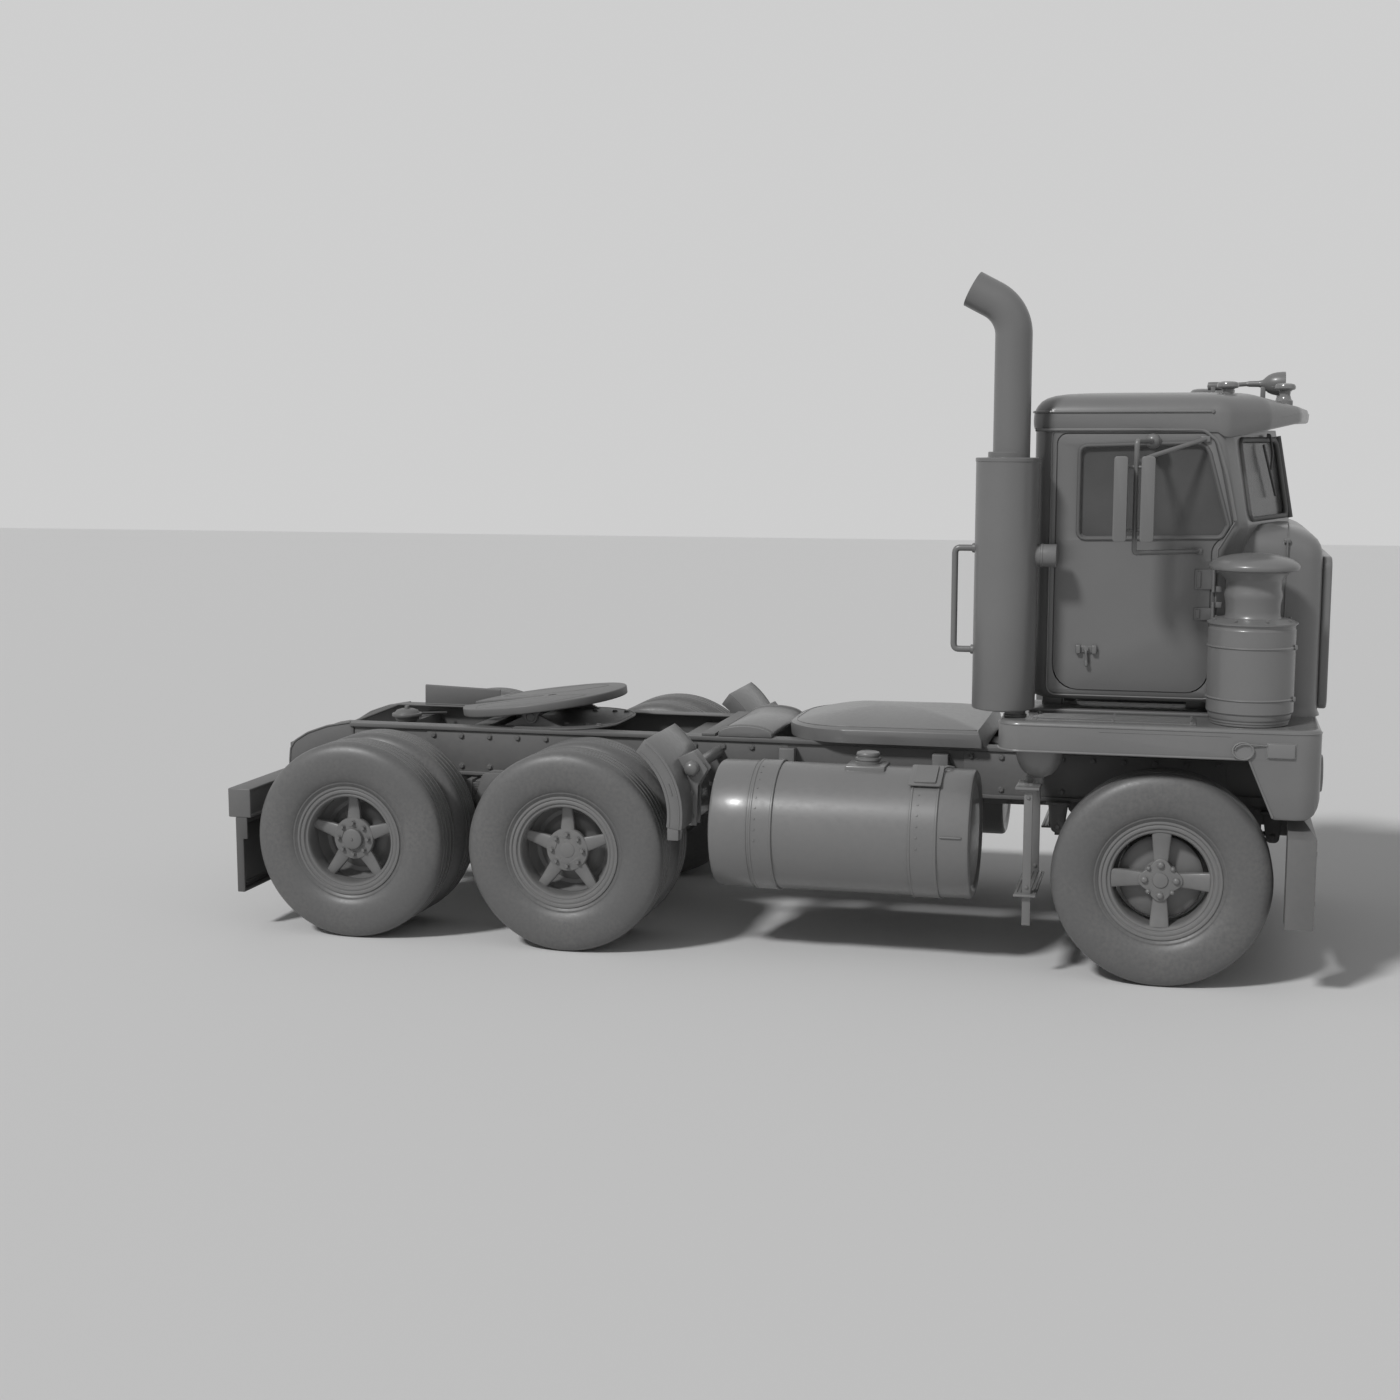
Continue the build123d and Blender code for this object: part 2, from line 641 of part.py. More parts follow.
# Fender decks with the cut-down front skirt
deck_face = make_face(Polyline((deck_rear_x, deck_inner_y), (deck_rear_x, deck_outer_y),
                               (deck_front_x, deck_outer_y), (deck_front_x, deck_inner_y), close=True))
corners = deck_face.vertices().sort_by(Axis.Y)[2:]
deck_face = fillet(corners, deck_corner)
deck = Pos(0, 0, valance_bottom) * extrude(deck_face, deck_top - valance_bottom)
rounded = [e for e in deck.edges().group_by(Axis.Z)[-1] if e.center().Y > deck_inner_y + 1]
deck = fillet(rounded, deck_rounding)
hollow = offset(deck_face, -deck_wall)
deck -= Pos(0, 0, valance_bottom - 1) * extrude(hollow, deck_top - deck_wall - valance_bottom + 1)
skirt = deck_top - deck_skirt
cut = [(deck_rear_x - 1, valance_bottom - 1), (valance_bottom_x, valance_bottom - 1), (valance_top_x, skirt)]
cut += [(deck_rear_x - 1, skirt)]
deck -= side_profile(cut, 300, 1300)
deck -= box(300, deck_front_x - deck_wall - 1, deck_inner_y - 1, deck_inner_y + 60, 800, skirt)
for x in (-700, 520):
    deck += box(x - 20, x + 20, deck_inner_y, rail_outer_y, rail_top, deck_top - 4)
write("fender_deck_left", deck)
write("fender_deck_right", mirror(deck, about=Plane.XZ))

# Air cleaners
r, z0 = cleaner_radius, deck_top
drum = [(0, z0), (r - 10, z0), (r - 10, z0 + 24), (r, z0 + 30), (r, cleaner_top), (r - 30, cleaner_top + 26)]
drum += [(118, cleaner_top + 32), (118, 1950), (158, 2002), (cap_radius - 6, 2002), (cap_radius, 2022)]
drum += [(cap_radius - 30, 2062), (110, cap_top), (0, cap_top)]
cleaner = revolve(Plane.XZ * make_face(Polyline(*drum, close=True)), Axis.Z)
cleaner_right = Pos(cleaner_x, cleaner_y, 0) * cleaner
write("air_cleaner_right", cleaner_right)
write("air_cleaner_left", mirror(cleaner_right, about=Plane.XZ))

# Exhaust
muffler = Pos(muffler_x, muffler_y, (muffler_bottom + muffler_top) / 2)
muffler = muffler * Cylinder(muffler_radius, muffler_top - muffler_bottom)
muffler = fillet(muffler.edges().filter_by(GeomType.CIRCLE), 14)
muffler += Pos(-712, muffler_y, deck_top + 20) * Cylinder(55, 40)
muffler += rod((-700, muffler_y, 2056), (-562, muffler_y, 2056), 52)
muffler += pipe([(-900, muffler_y, 1600), (-1015, muffler_y, 1600), (-1015, muffler_y, 2088),
                 (-900, muffler_y, 2088)], 40, 15)
write("muffler", muffler)
bx = muffler_x + 15
turn = math.radians(stack_turn)
reach = stack_bend_radius * math.tan(turn / 2) + stack_tail
knee_z = stack_bend_z + stack_bend_radius * math.tan(turn / 2)
end = (bx - reach * math.sin(turn), muffler_y, knee_z + reach * math.cos(turn))
stack = pipe([(bx, muffler_y, muffler_top), (bx, muffler_y, knee_z), end], stack_bend_radius - 1,
             stack_radius, stack_wall)
write("exhaust_stack", stack)

# Fuel tanks with their straps and brackets
tank = rod((tank_rear_x, tank_y, tank_z), (tank_front_x, tank_y, tank_z), tank_radius)
tank = fillet(tank.edges().filter_by(GeomType.CIRCLE), tank_rim)
tank += Pos(-1458, tank_y - 20, tank_z + tank_radius + 18) * Cylinder(52, 60)
write("fuel_tank_left", tank)
write("fuel_tank_right", mirror(tank, about=Plane.XZ))
ends = rod((tank_rear_x - 5, tank_y, tank_z), (tank_front_x + 5, tank_y, tank_z), tank_radius)
strap_set = []
for x in strap_positions:
    x0, x1 = x - strap_width / 2, x + strap_width / 2
    ring = rod((x0, tank_y, tank_z), (x1, tank_y, tank_z), tank_radius + strap_thickness)
    ring += box(x0 + 10, x1 - 10, rail_outer_y, 620, 480, 1000)
    strap_set.append(ring - ends)
strap = strap_set[0] + strap_set[1]
write("tank_straps", *both_sides(strap))

# Steps hung from the decks
pot_side = [(0, 950), (26, 950), (26, 984), (58, 1002), (92, 1052), (108, 1112), (112, deck_top - deck_wall)]
pot_side += [(102, deck_top - deck_wall), (98, 1112), (82, 1058), (50, 1014), (0, 1004)]
pot = Pos(-590, 1010, 0) * revolve(Plane.XZ * make_face(Polyline(*pot_side, close=True)), Axis.Z)
hang = pot + box(-690, -575, 590, 1150, 940, 953)
hang += box(-649, -608, 1112, 1124, 270, 945)
hang += box(-649, -608, 610, 622, 420, 945)
hang += box(-690, -582, 590, 1150, 415, 427)
write("steps", *both_sides(hang))

# Plates over the frame behind the cab
cover = side_profile([(cover_rear_x, rail_top), (cover_front_x, rail_top), (cover_front_x, cover_front_z),
                      (-1520, 1150), (cover_rear_x, cover_rear_z)], -cover_half_width, cover_half_width)
corners = cover.edges().filter_by(Axis.Z).group_by(Axis.X)[0]
cover = fillet(corners, 200)
cover -= box(cover_rear_x - 1, cover_front_x - 20, -cover_half_width + 20, -rail_outer_y - 2, 1000, 1095)
cover -= box(cover_rear_x - 1, cover_front_x - 20, rail_outer_y + 2, cover_half_width - 20, 1000, 1095)
cover -= box(cover_rear_x + 20, cover_front_x - 20, -330, 330, 1000, 1100)
arch = box(arch_rear_x, arch_front_x, -rail_outer_y, rail_outer_y, rail_top, rail_top + arch_rise)
arch -= box(arch_rear_x - 1, arch_front_x + 1, -rail_outer_y + 60, rail_outer_y - 60, rail_top - 1, rail_top + 36)
write("frame_covers", cover, arch)

# Quarter fenders in front of the driven wheels
lip_r, skin_r = fender_radius - fender_lip, fender_radius - fender_skin


def arc_plate(r0, r1, y0, y1, a0, a1):
    """A plate between two radii and two angles about the fender's centre."""
    steps = 7
    points = []
    for k in range(steps + 1):
        a = math.radians(a0 + (a1 - a0) * k / steps)
        points.append((fender_arc_x + r1 * math.cos(a), fender_arc_z + r1 * math.sin(a)))
    for k in range(steps, -1, -1):
        a = math.radians(a0 + (a1 - a0) * k / steps)
        points.append((fender_arc_x + r0 * math.cos(a), fender_arc_z + r0 * math.sin(a)))
    return side_profile(points, y0, y1)


quarter = arc_plate(skin_r, fender_radius, fender_inner_y, fender_outer_y, fender_start, fender_end)
quarter += arc_plate(lip_r, fender_radius, fender_outer_y - 10, fender_outer_y, fender_start, fender_end)
quarter += arc_plate(lip_r, fender_radius, fender_inner_y, fender_inner_y + 10, fender_start, fender_end)
quarter += rod((fender_post_x, rail_outer_y, 950), (fender_post_x, 1000, 950), 30)
quarter += box(fender_post_x - 30, fender_post_x + 10, 900, 1040, 652, 950)
write("quarter_fenders", *both_sides(quarter))

# Fifth wheel: base, side brackets with the pivot pins, tilting plate
base = box(base_rear_x - 200, base_front_x, -base_half_width, base_half_width, rail_top, base_top - 18)
for o in (1, -1):
    y = o * bracket_y
    y0, y1 = y - bracket_thickness / 2, y + bracket_thickness / 2
    base += side_profile([(pivot_x - 170, base_top - 20), (pivot_x + 170, base_top - 20),
                          (pivot_x + lug_radius, pivot_z), (pivot_x - lug_radius, pivot_z)], y0, y1)
    base += rod((pivot_x, y0, pivot_z), (pivot_x, y1, pivot_z), lug_radius)
    base += rod((pivot_x, y - 45, pivot_z), (pivot_x, y + 45, pivot_z), pivot_pin_radius)
write("fifth_wheel_base", base)

plate_points = [(-plate_rear_x, 150), (-plate_rear_x + 60, plate_half_width - 60), (-200, plate_half_width)]
plate_points += [(180, plate_half_width), (plate_front_x, 190)]
plate_points = plate_points + [(x, -y) for x, y in reversed(plate_points)]
flat = Pos(0, 0, plate_top - plate_thickness)
plate = flat * extrude(make_face(Polyline(*plate_points, close=True)), plate_thickness)
plate -= plan_profile([(-plate_rear_x - 1, 110), (-plate_rear_x - 1, -110), (-60, -30), (-60, 30)], 0, 200)
plate -= Pos(0, 0, plate_top) * Cylinder(jaw_radius, 300)
for o in (1, -1):
    for y in (o * (bracket_y - 32), o * (bracket_y + 32)):
        ear = [(-lug_radius, 0), (lug_radius, 0), (90, plate_top - 20), (-90, plate_top - 20)]
        plate += side_profile(ear, y - 11, y + 11) + rod((0, y - 11, 0), (0, y + 11, 0), lug_radius)
        plate -= rod((0, y - 12, 0), (0, y + 12, 0), pivot_pin_radius + running_gap)
write("fifth_wheel_plate", Pos(pivot_x, 0, pivot_z) * Rot(0, -plate_tilt, 0) * plate)

# Rear crossbar and mudflaps
w = rear_bar_wall
bar = box(-rear_reach, rear_bar_x, -rear_bar_half, rear_bar_half, rear_bar_bottom, rail_bottom)
bar -= box(-rear_reach + w, rear_bar_x + 1, -rear_bar_half + w, rear_bar_half - w, rear_bar_bottom + w,
           rail_bottom - w)
write("rear_crossbar", bar)
flap = box(flap_x, flap_x + flap_thickness, flap_inner_y, rear_bar_half, flap_bottom, rear_bar_bottom)
write("mudflaps", *both_sides(flap))

# Inside the cab
seats = []
for o in (1, -1):
    y = o * 420
    seat = box(-480, 20, y - 240, y + 240, 1700, 1830)
    seat += side_profile([(-480, 1760), (-400, 1760), (-470, 2380), (-550, 2380)], y - 235, y + 235)
    seat += box(-400, -40, y - 150, y + 150, 1395, 1700)
    seats.append(seat)
write("seats", *seats)
dash_y = nose_half_width - 50
dash_side = [(300, 1700), (120, 1780), (120, 1960), (240, 2080), (330, 2080), (330, 1700)]
dash = side_profile(dash_side, -dash_y, dash_y)
dash += box(180, 262, -120, 120, cab_bottom + floor_thickness, 1760)
dash -= cab_volume(0) - cab_volume(cab_wall)
write("dashboard", dash)
column = rod((230, 420, 1800), (40, 420, 2010), 24)
wheel_ring = Plane(origin=(40, 420, 2010), z_dir=Vector(-190, 0, 210).normalized())
steering = column + wheel_ring * Torus(220, 14)
for k in range(3):
    a = math.radians(90 + 120 * k)
    steering += wheel_ring * rod((0, 0, -4), (220 * math.cos(a), 220 * math.sin(a), 0), 11)
write("steering_wheel", steering - dash)

# Mirrors on the doors, lamps and horn
door_y, arm_y = cab_half_width, cab_half_width + 320
arm_top, arm_low = door_top - 34, belt_z - 112
head_top, head_low = door_top - 102, belt_z - 50
arm = pipe([(-85, door_y + 8, arm_top), (-165, arm_y, arm_top), (-165, arm_y, arm_low),
            (120, door_y - 2, arm_low - 16)], 30, 14)
arm += rod((-165, arm_y, head_top), (140, door_y - 2, arm_top + 10), 11)
heads = box(-262, -200, arm_y - 4, arm_y + 110, head_low, head_top)
heads += box(-140, -78, arm_y - 4, arm_y + 110, head_low, head_top)
for z in (head_top - 50, head_low + 50):
    heads += rod((-230, arm_y + 5, z), (-100, arm_y + 5, z), 10)
mirror_left = arm + heads - door_left
write("mirror_left", mirror_left)
write("mirror_right", mirror(mirror_left, about=Plane.XZ))

lamps = []
top = roof_top_z
for x, y in ((237, 600), (517, 200), (517, -200), (237, -600)):
    lamp = Pos(x, y, top - 16) * Cylinder(28, 100) + Pos(x, y, top + 34) * Cylinder(50, 26)
    lamps.append(lamp - roof)
write("roof_lamps", *lamps)
bell_side = [(300, 0), (300, 15), (430, 20), (480, 32), (500, 46), (512, 60), (520, 60), (516, 48), (500, 36)]
bell_side += [(480, 24), (440, 12), (440, 0)]
bell = revolve(make_face(Polyline(*bell_side, close=True)), Axis.X)
horn = Pos(0, -60, top + 46) * bell + rod((130, -60, top + 46), (300, -60, top + 46), 22)
horn += box(150, 190, -80, -40, top - 16, top + 40) + box(400, 430, -80, -40, top - 16, top + 34)
write("horn", horn - roof)
lamp = rod((355, 1190, 1178), (355, 1212, 1178), 30) + box(462, 586, 1190, 1216, 1149, 1218)
lamp += rod((nose_front_x - 4, 900, 1040), (nose_front_x + 26, 900, 1040), 90)
write("running_lamps", *both_sides(lamp - deck))
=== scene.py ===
"""The truck's looks: detailed pieces, paint, rubber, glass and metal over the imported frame."""

import json
from math import atan2, copysign, cos, degrees, exp, hypot, pi, radians, sin, tan

import bpy
from mathutils import Matrix, Vector


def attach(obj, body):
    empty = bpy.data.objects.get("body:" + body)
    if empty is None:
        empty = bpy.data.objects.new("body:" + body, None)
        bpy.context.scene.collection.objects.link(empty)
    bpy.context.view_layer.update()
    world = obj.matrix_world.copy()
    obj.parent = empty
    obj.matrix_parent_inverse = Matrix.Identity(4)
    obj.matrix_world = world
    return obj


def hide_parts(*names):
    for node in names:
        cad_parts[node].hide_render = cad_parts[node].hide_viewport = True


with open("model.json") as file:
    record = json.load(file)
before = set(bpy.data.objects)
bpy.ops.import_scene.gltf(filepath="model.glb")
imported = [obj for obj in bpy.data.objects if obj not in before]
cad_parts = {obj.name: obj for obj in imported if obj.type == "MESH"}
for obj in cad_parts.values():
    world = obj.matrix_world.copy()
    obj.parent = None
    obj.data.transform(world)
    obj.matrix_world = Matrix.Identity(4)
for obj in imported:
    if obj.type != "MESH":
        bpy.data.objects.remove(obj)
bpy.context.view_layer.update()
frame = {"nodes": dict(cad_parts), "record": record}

# Places are measured from the front axle line, which is SHIFT ahead of the frame's origin.
SHIFT = 2.0475
AXLE_Z = 0.52
MID_AXLE_X, REAR_AXLE_X = -2.96, -4.143
FRONT_HUB_Y, TWIN_HUB_Y = 0.997, 0.919
TWIN_OFFSET = 0.163
KINGPIN_Y = 0.9
ROD_X = -0.17
STACK_Y = -1.0
COUPLING = (-3.4, 0, 1.092)
PIVOT_Y = 0.365


def place_camera():
    """The photograph's viewpoint, to the right of the truck and a little ahead of the cab."""
    data = bpy.data.cameras.new("photo_camera")
    data.lens = 50
    data.sensor_width = 36
    camera = bpy.data.objects.new("photo_camera", data)
    bpy.context.scene.collection.objects.link(camera)
    camera.location = (0.116 + SHIFT, -10.426, 2.612)
    camera.rotation_euler = (radians(90 - 7.67), 0, radians(14.31))
    bpy.context.scene.camera = camera


place_camera()


# Shader maths

class Socket:
    """A shader socket, or a number, that takes part in sums and products."""

    def __init__(self, tree, link):
        self.tree = tree
        self.link = link

    def math(self, operation, *others):
        node = self.tree.nodes.new("ShaderNodeMath")
        node.operation = operation
        for place, value in enumerate((self,) + others):
            if isinstance(value, Socket):
                self.tree.links.new(value.link, node.inputs[place])
            else:
                node.inputs[place].default_value = value
        return Socket(self.tree, node.outputs[0])

    def __add__(self, other):
        return self.math("ADD", other)

    __radd__ = __add__

    def __mul__(self, other):
        return self.math("MULTIPLY", other)

    def __sub__(self, other):
        return self.math("SUBTRACT", other)

    def __rsub__(self, other):
        return (self * -1.0) + other

    def __truediv__(self, other):
        return self.math("DIVIDE", other)

    def smooth(self, low, high):
        """From 0 at low to 1 at high."""
        return ((self - low) / (high - low)).math("MAXIMUM", 0.0).math("MINIMUM", 1.0)


class Finish:
    """A material under construction, with one method for every node that isn't plain maths."""

    def __init__(self, name):
        self.material = bpy.data.materials.new(name)
        self.material.use_nodes = True
        self.tree = self.material.node_tree
        self.shader = self.tree.nodes["Principled BSDF"]
        self.place = self.node("ShaderNodeTexCoord", {}, {}, "Object")

    def node(self, kind, settings, values, output=0):
        made = self.tree.nodes.new(kind)
        for key, value in settings.items():
            setattr(made, key, value)
        for key, value in values.items():
            self.feed(made.inputs[key], value)
        return Socket(self.tree, made.outputs[output])

    def feed(self, socket, value):
        """Links a socket, or sets its value."""
        if isinstance(value, Socket):
            self.tree.links.new(value.link, socket)
        else:
            socket.default_value = value

    def noise(self, scale, detail=4.0, rough=0.55):
        return self.node("ShaderNodeTexNoise", {}, {"Vector": self.place, "Scale": scale, "Detail": detail,
                                                    "Roughness": rough})

    def blend(self, factor, first, second):
        return self.node("ShaderNodeMix", {"data_type": "RGBA"}, {0: factor, 6: first, 7: second}, 2)

    def set(self, **values):
        names = {"colour": "Base Color", "rough": "Roughness", "coat": "Coat Weight", "normal": "Normal",
                 "coat_rough": "Coat Roughness", "alpha": "Alpha", "specular": "Specular IOR Level"}
        for key, value in values.items():
            self.feed(self.shader.inputs[names[key]], value)

    def bump(self, height, strength, distance):
        return self.node("ShaderNodeBump", {}, {"Height": height, "Strength": strength, "Distance": distance})

    def height_axis(self, axis):
        return self.node("ShaderNodeSeparateXYZ", {}, {0: self.place}, axis)


def grey(level, warm=0.0):
    return (level * (1 + warm), level, level * (1 - warm), 1.0)


def painted(name, level, rough=0.38, coat=0.25, wear=0.12):
    """Sprayed paint: broad fading, fine dust, orange peel and small scuffs."""
    f = Finish(name)
    broad = f.noise(1.3, 3.0)
    fine = f.noise(38.0, 5.0)
    low = f.height_axis(2).smooth(1.6, 0.2)
    dust = (broad.smooth(0.42, 0.7) * 0.5 + low * 0.6) * fine.smooth(0.3, 0.7)
    base = f.blend(broad.smooth(0.3, 0.7), grey(level * 0.94), grey(level * 1.06))
    f.set(colour=f.blend(dust * wear * 2.0, base, grey(level * 1.25, 0.03)))
    f.set(rough=rough + dust * 0.22 + fine * 0.05, coat=coat, coat_rough=0.18)
    f.set(normal=f.bump(f.noise(260.0, 2.0) * 0.6 + fine * 0.4, 0.12, 0.0006))
    return f.material


def window_glass():
    """Tinted glass with a faint film of dust in broad patches and a little waviness."""
    f = Finish("window_glass")
    film = f.noise(2.2, 4.0).smooth(0.45, 0.75)
    fine = f.noise(90.0, 3.0)
    f.set(colour=f.blend(film * 0.35, grey(0.09), grey(0.15)), rough=film * 0.12 + fine * 0.03 + 0.12)
    f.set(alpha=film * 0.06 + 0.88, coat=0.08, coat_rough=0.05, specular=0.25)
    f.set(normal=f.bump(f.noise(1.4, 1.0), 0.25, 0.003))
    return f.material


def tyre_rubber():
    """Moulded rubber: a dull bloom, pale dust in patches and a fine grain."""
    f = Finish("tyre_rubber")
    broad = f.noise(2.5, 3.0)
    fine = f.noise(55.0, 6.0)
    grain = f.noise(420.0, 2.0)
    dust = broad.smooth(0.4, 0.72) * fine.smooth(0.35, 0.7)
    base = f.blend(fine, grey(0.105), grey(0.135))
    f.set(colour=f.blend(dust * 0.45, base, grey(0.19, 0.03)))
    f.set(rough=dust * 0.18 + fine * 0.1 + 0.36, coat=0.0)
    f.set(normal=f.bump(grain * 0.5 + fine * 0.5, 0.3, 0.0011))
    return f.material


def seat_vinyl():
    """Leather-grained vinyl: small round cells, with a softer shine along their edges and in broad patches."""
    f = Finish("seat_vinyl")
    cells = f.node("ShaderNodeTexVoronoi", {"feature": "DISTANCE_TO_EDGE"}, {"Vector": f.place, "Scale": 340.0})
    folds = cells.smooth(0.0, 0.22)
    broad = f.noise(4.0, 3.0)
    f.set(colour=f.blend(broad, grey(0.085), grey(0.12)), rough=broad * 0.12 + (1 - folds) * 0.15 + 0.4, coat=0.05)
    f.set(normal=f.bump(folds * 0.7 + f.noise(30.0, 3.0) * 0.3, 0.35, 0.0009))
    return f.material


FINISHES = {
    "body_paint": painted("cab_paint", 0.165, 0.3, 0.35),
    "chassis_paint": painted("frame_paint", 0.14, 0.45, 0.05, 0.25),
    "wheel_paint": painted("wheel_paint", 0.16, 0.36, 0.15, 0.2),
    "exhaust_metal": painted("exhaust_paint", 0.165, 0.33, 0.2),
    "tank_metal": painted("tank_paint", 0.17, 0.3, 0.3),
    "mirror_case": painted("mirror_paint", 0.165, 0.32, 0.3),
    "engine_iron": painted("engine_paint", 0.13, 0.6, 0.0, 0.3),
    "radiator_black": painted("radiator_paint", 0.06, 0.6, 0.0, 0.2),
    "lamp_lens": painted("lamp_lens", 0.19, 0.16, 0.6, 0.02),
    "cab_plastic": painted("cab_plastic", 0.09, 0.6, 0.0, 0.1),
    "seat_vinyl": seat_vinyl(),
    "flap_rubber": painted("flap_rubber", 0.1, 0.75, 0.0, 0.3),
    "tyre_rubber": tyre_rubber(),
    "glass": window_glass(),
    "seal_rubber": painted("seal_rubber", 0.12, 0.6, 0.0, 0.1),
}

slots = {s["node"]: s["material_slot"] for s in frame["record"]["subparts"]}
for name, node in frame["nodes"].items():
    finish = FINISHES[slots[name]]
    if not node.material_slots:
        node.data.materials.append(finish)
    for place in node.material_slots:
        place.material = finish


# Modelling steps, as by hand

def mm(*sizes, each=2):
    """Points in metres from one row of sizes in millimetres, so many to each point."""
    return [tuple(size / 1000 for size in sizes[k:k + each]) for k in range(0, len(sizes), each)]


def corners_of(u0, v0, u1, v1):
    """The corners of a rectangle, in millimetres as in mm."""
    return mm(u0, v0, u1, v0, u1, v1, u0, v1)


def leave_edit():
    bpy.ops.object.mode_set(mode="OBJECT")


def edit_all():
    """Edit mode, with everything selected."""
    bpy.ops.object.mode_set(mode="EDIT")
    bpy.ops.mesh.select_all(action="SELECT")


def discard(*models):
    """Takes models out that were only there to be copied or cut with."""
    for model in models:
        bpy.data.objects.remove(model)


def fresh():
    """Nothing selected, and out of edit mode."""
    if bpy.context.mode != "OBJECT":
        leave_edit()
    bpy.ops.object.select_all(action="DESELECT")


def pick(piece):
    fresh()
    piece.select_set(True)
    bpy.context.view_layer.objects.active = piece


def face_outwards(piece):
    pick(piece)
    edit_all()
    bpy.ops.mesh.normals_make_consistent(inside=False)
    leave_edit()
    return piece


def settle(piece, matrix):
    """Moves a piece by a matrix, with its place in its mesh afterwards."""
    piece.matrix_world = matrix @ piece.matrix_world
    pick(piece)
    bpy.ops.object.transform_apply(location=True, rotation=True, scale=True)
    return face_outwards(piece) if matrix.determinant() < 0 else piece


def at(place):
    """The move to a place measured from the front axle line."""
    return Matrix.Translation((place[0] + SHIFT, place[1], place[2]))


def put(piece, x, y, z, turn=None):
    """Puts a piece down at a place measured from the front axle line."""
    return settle(piece, at((x, y, z)) @ (turn or Matrix()))


def again(piece, name, matrix):
    """A copy with its own mesh, moved by a matrix."""
    other = piece.copy()
    other.data = piece.data.copy()
    other.name = name
    bpy.context.scene.collection.objects.link(other)
    return settle(other, matrix)


def again_at(model, x, y, z, turn=None):
    """A copy of a small model, put down at a place measured from the front axle line."""
    return again(model, model.name + "_copy", at((x, y, z)) @ (turn or Matrix()))


def joined(name, pieces):
    fresh()
    for piece in pieces:
        piece.select_set(True)
    bpy.context.view_layer.objects.active = pieces[0]
    bpy.ops.object.join()
    pieces[0].name = name
    return pieces[0]


def turn_about(axis, degrees):
    return Matrix.Rotation(radians(degrees), 4, axis)


OUT_RIGHT = turn_about("X", 90)
OUT_LEFT = turn_about("Z", 180) @ OUT_RIGHT
FORWARD = turn_about("Y", 90)
MIRROR_Y = Matrix.Scale(-1, 4, (0, 1, 0))


def left_and_right(name, pieces):
    """The left side's pieces as one, and its mirror image."""
    left = joined(f"{name}_left", pieces)
    return (("left", left), ("right", again(left, f"{name}_right", MIRROR_Y)))


def both_sides(name, pieces):
    """One piece from the left side's pieces and their mirror image."""
    return joined(name, [piece for side, piece in left_and_right(name, pieces)])


def modified(piece, kind, **settings):
    """Gives a piece a modifier and applies it."""
    pick(piece)
    change = piece.modifiers.new(kind.lower(), kind)
    for key, value in settings.items():
        setattr(change, key, value)
    bpy.ops.object.modifier_apply(modifier=change.name)
    return piece


def turned(name, sides, rings):
    """A round piece about Z: a circle is pulled from ring to ring. Each ring is (radius, height)."""
    fresh()
    wide, high = max(rings[0][0], 0.0004), rings[0][1]
    bpy.ops.mesh.primitive_circle_add(vertices=sides, radius=wide, location=(0, 0, 0))
    piece = bpy.context.object
    piece.name = name
    edit_all()
    bpy.ops.transform.translate(value=(0, 0, high))
    for radius, height in rings[1:]:
        radius = max(radius, 0.0004)
        bpy.ops.mesh.extrude_region_move(TRANSFORM_OT_translate={"value": (0, 0, height - high)})
        scale = radius / wide
        bpy.ops.transform.resize(value=(scale, scale, 1), center_override=(0, 0, height))
        wide, high = radius, height
    bpy.ops.mesh.select_all(action="SELECT")
    bpy.ops.mesh.remove_doubles(threshold=0.0009)
    bpy.ops.mesh.normals_make_consistent(inside=False)
    leave_edit()
    return piece


def soften(piece, edge, segments=2, angle=30):
    """Rounds a piece's sharp edges."""
    return modified(piece, "BEVEL", width=edge, segments=segments, limit_method="ANGLE", angle_limit=radians(angle))


def block(name, low, high, edge=0.004, segments=2):
    """A block between two corners, measured from the front axle line, with rounded edges."""
    fresh()
    bpy.ops.mesh.primitive_cube_add(size=1, location=(0, 0, 0))
    piece = bpy.context.object
    piece.name = name
    size = Matrix.Diagonal([abs(b - a) for a, b in zip(low, high)] + [1])
    put(piece, *[(a + b) / 2 for a, b in zip(low, high)], size)
    return soften(piece, edge, segments) if edge else piece


def panel(name, outline, way, thick, edge=0.003, segments=2):
    """A plate cut to an outline in the plane across way, one of x, y and z, then pulled to its thickness."""
    fresh()
    bpy.ops.mesh.primitive_circle_add(vertices=len(outline), radius=1, fill_type="NGON", location=(0, 0, 0))
    piece = bpy.context.object
    piece.name = name
    spots = {"x": lambda u, v: (0, u, v), "y": lambda u, v: (u, 0, v), "z": lambda u, v: (u, v, 0)}
    for point, (u, v) in zip(piece.data.vertices, outline):
        point.co = spots[way](u, v)
    pull = {"x": (thick, 0, 0), "y": (0, thick, 0), "z": (0, 0, thick)}[way]
    edit_all()
    bpy.ops.mesh.extrude_region_move(TRANSFORM_OT_translate={"value": pull})
    bpy.ops.mesh.select_all(action="SELECT")
    bpy.ops.mesh.normals_make_consistent(inside=False)
    leave_edit()
    return soften(piece, edge, segments) if edge else piece


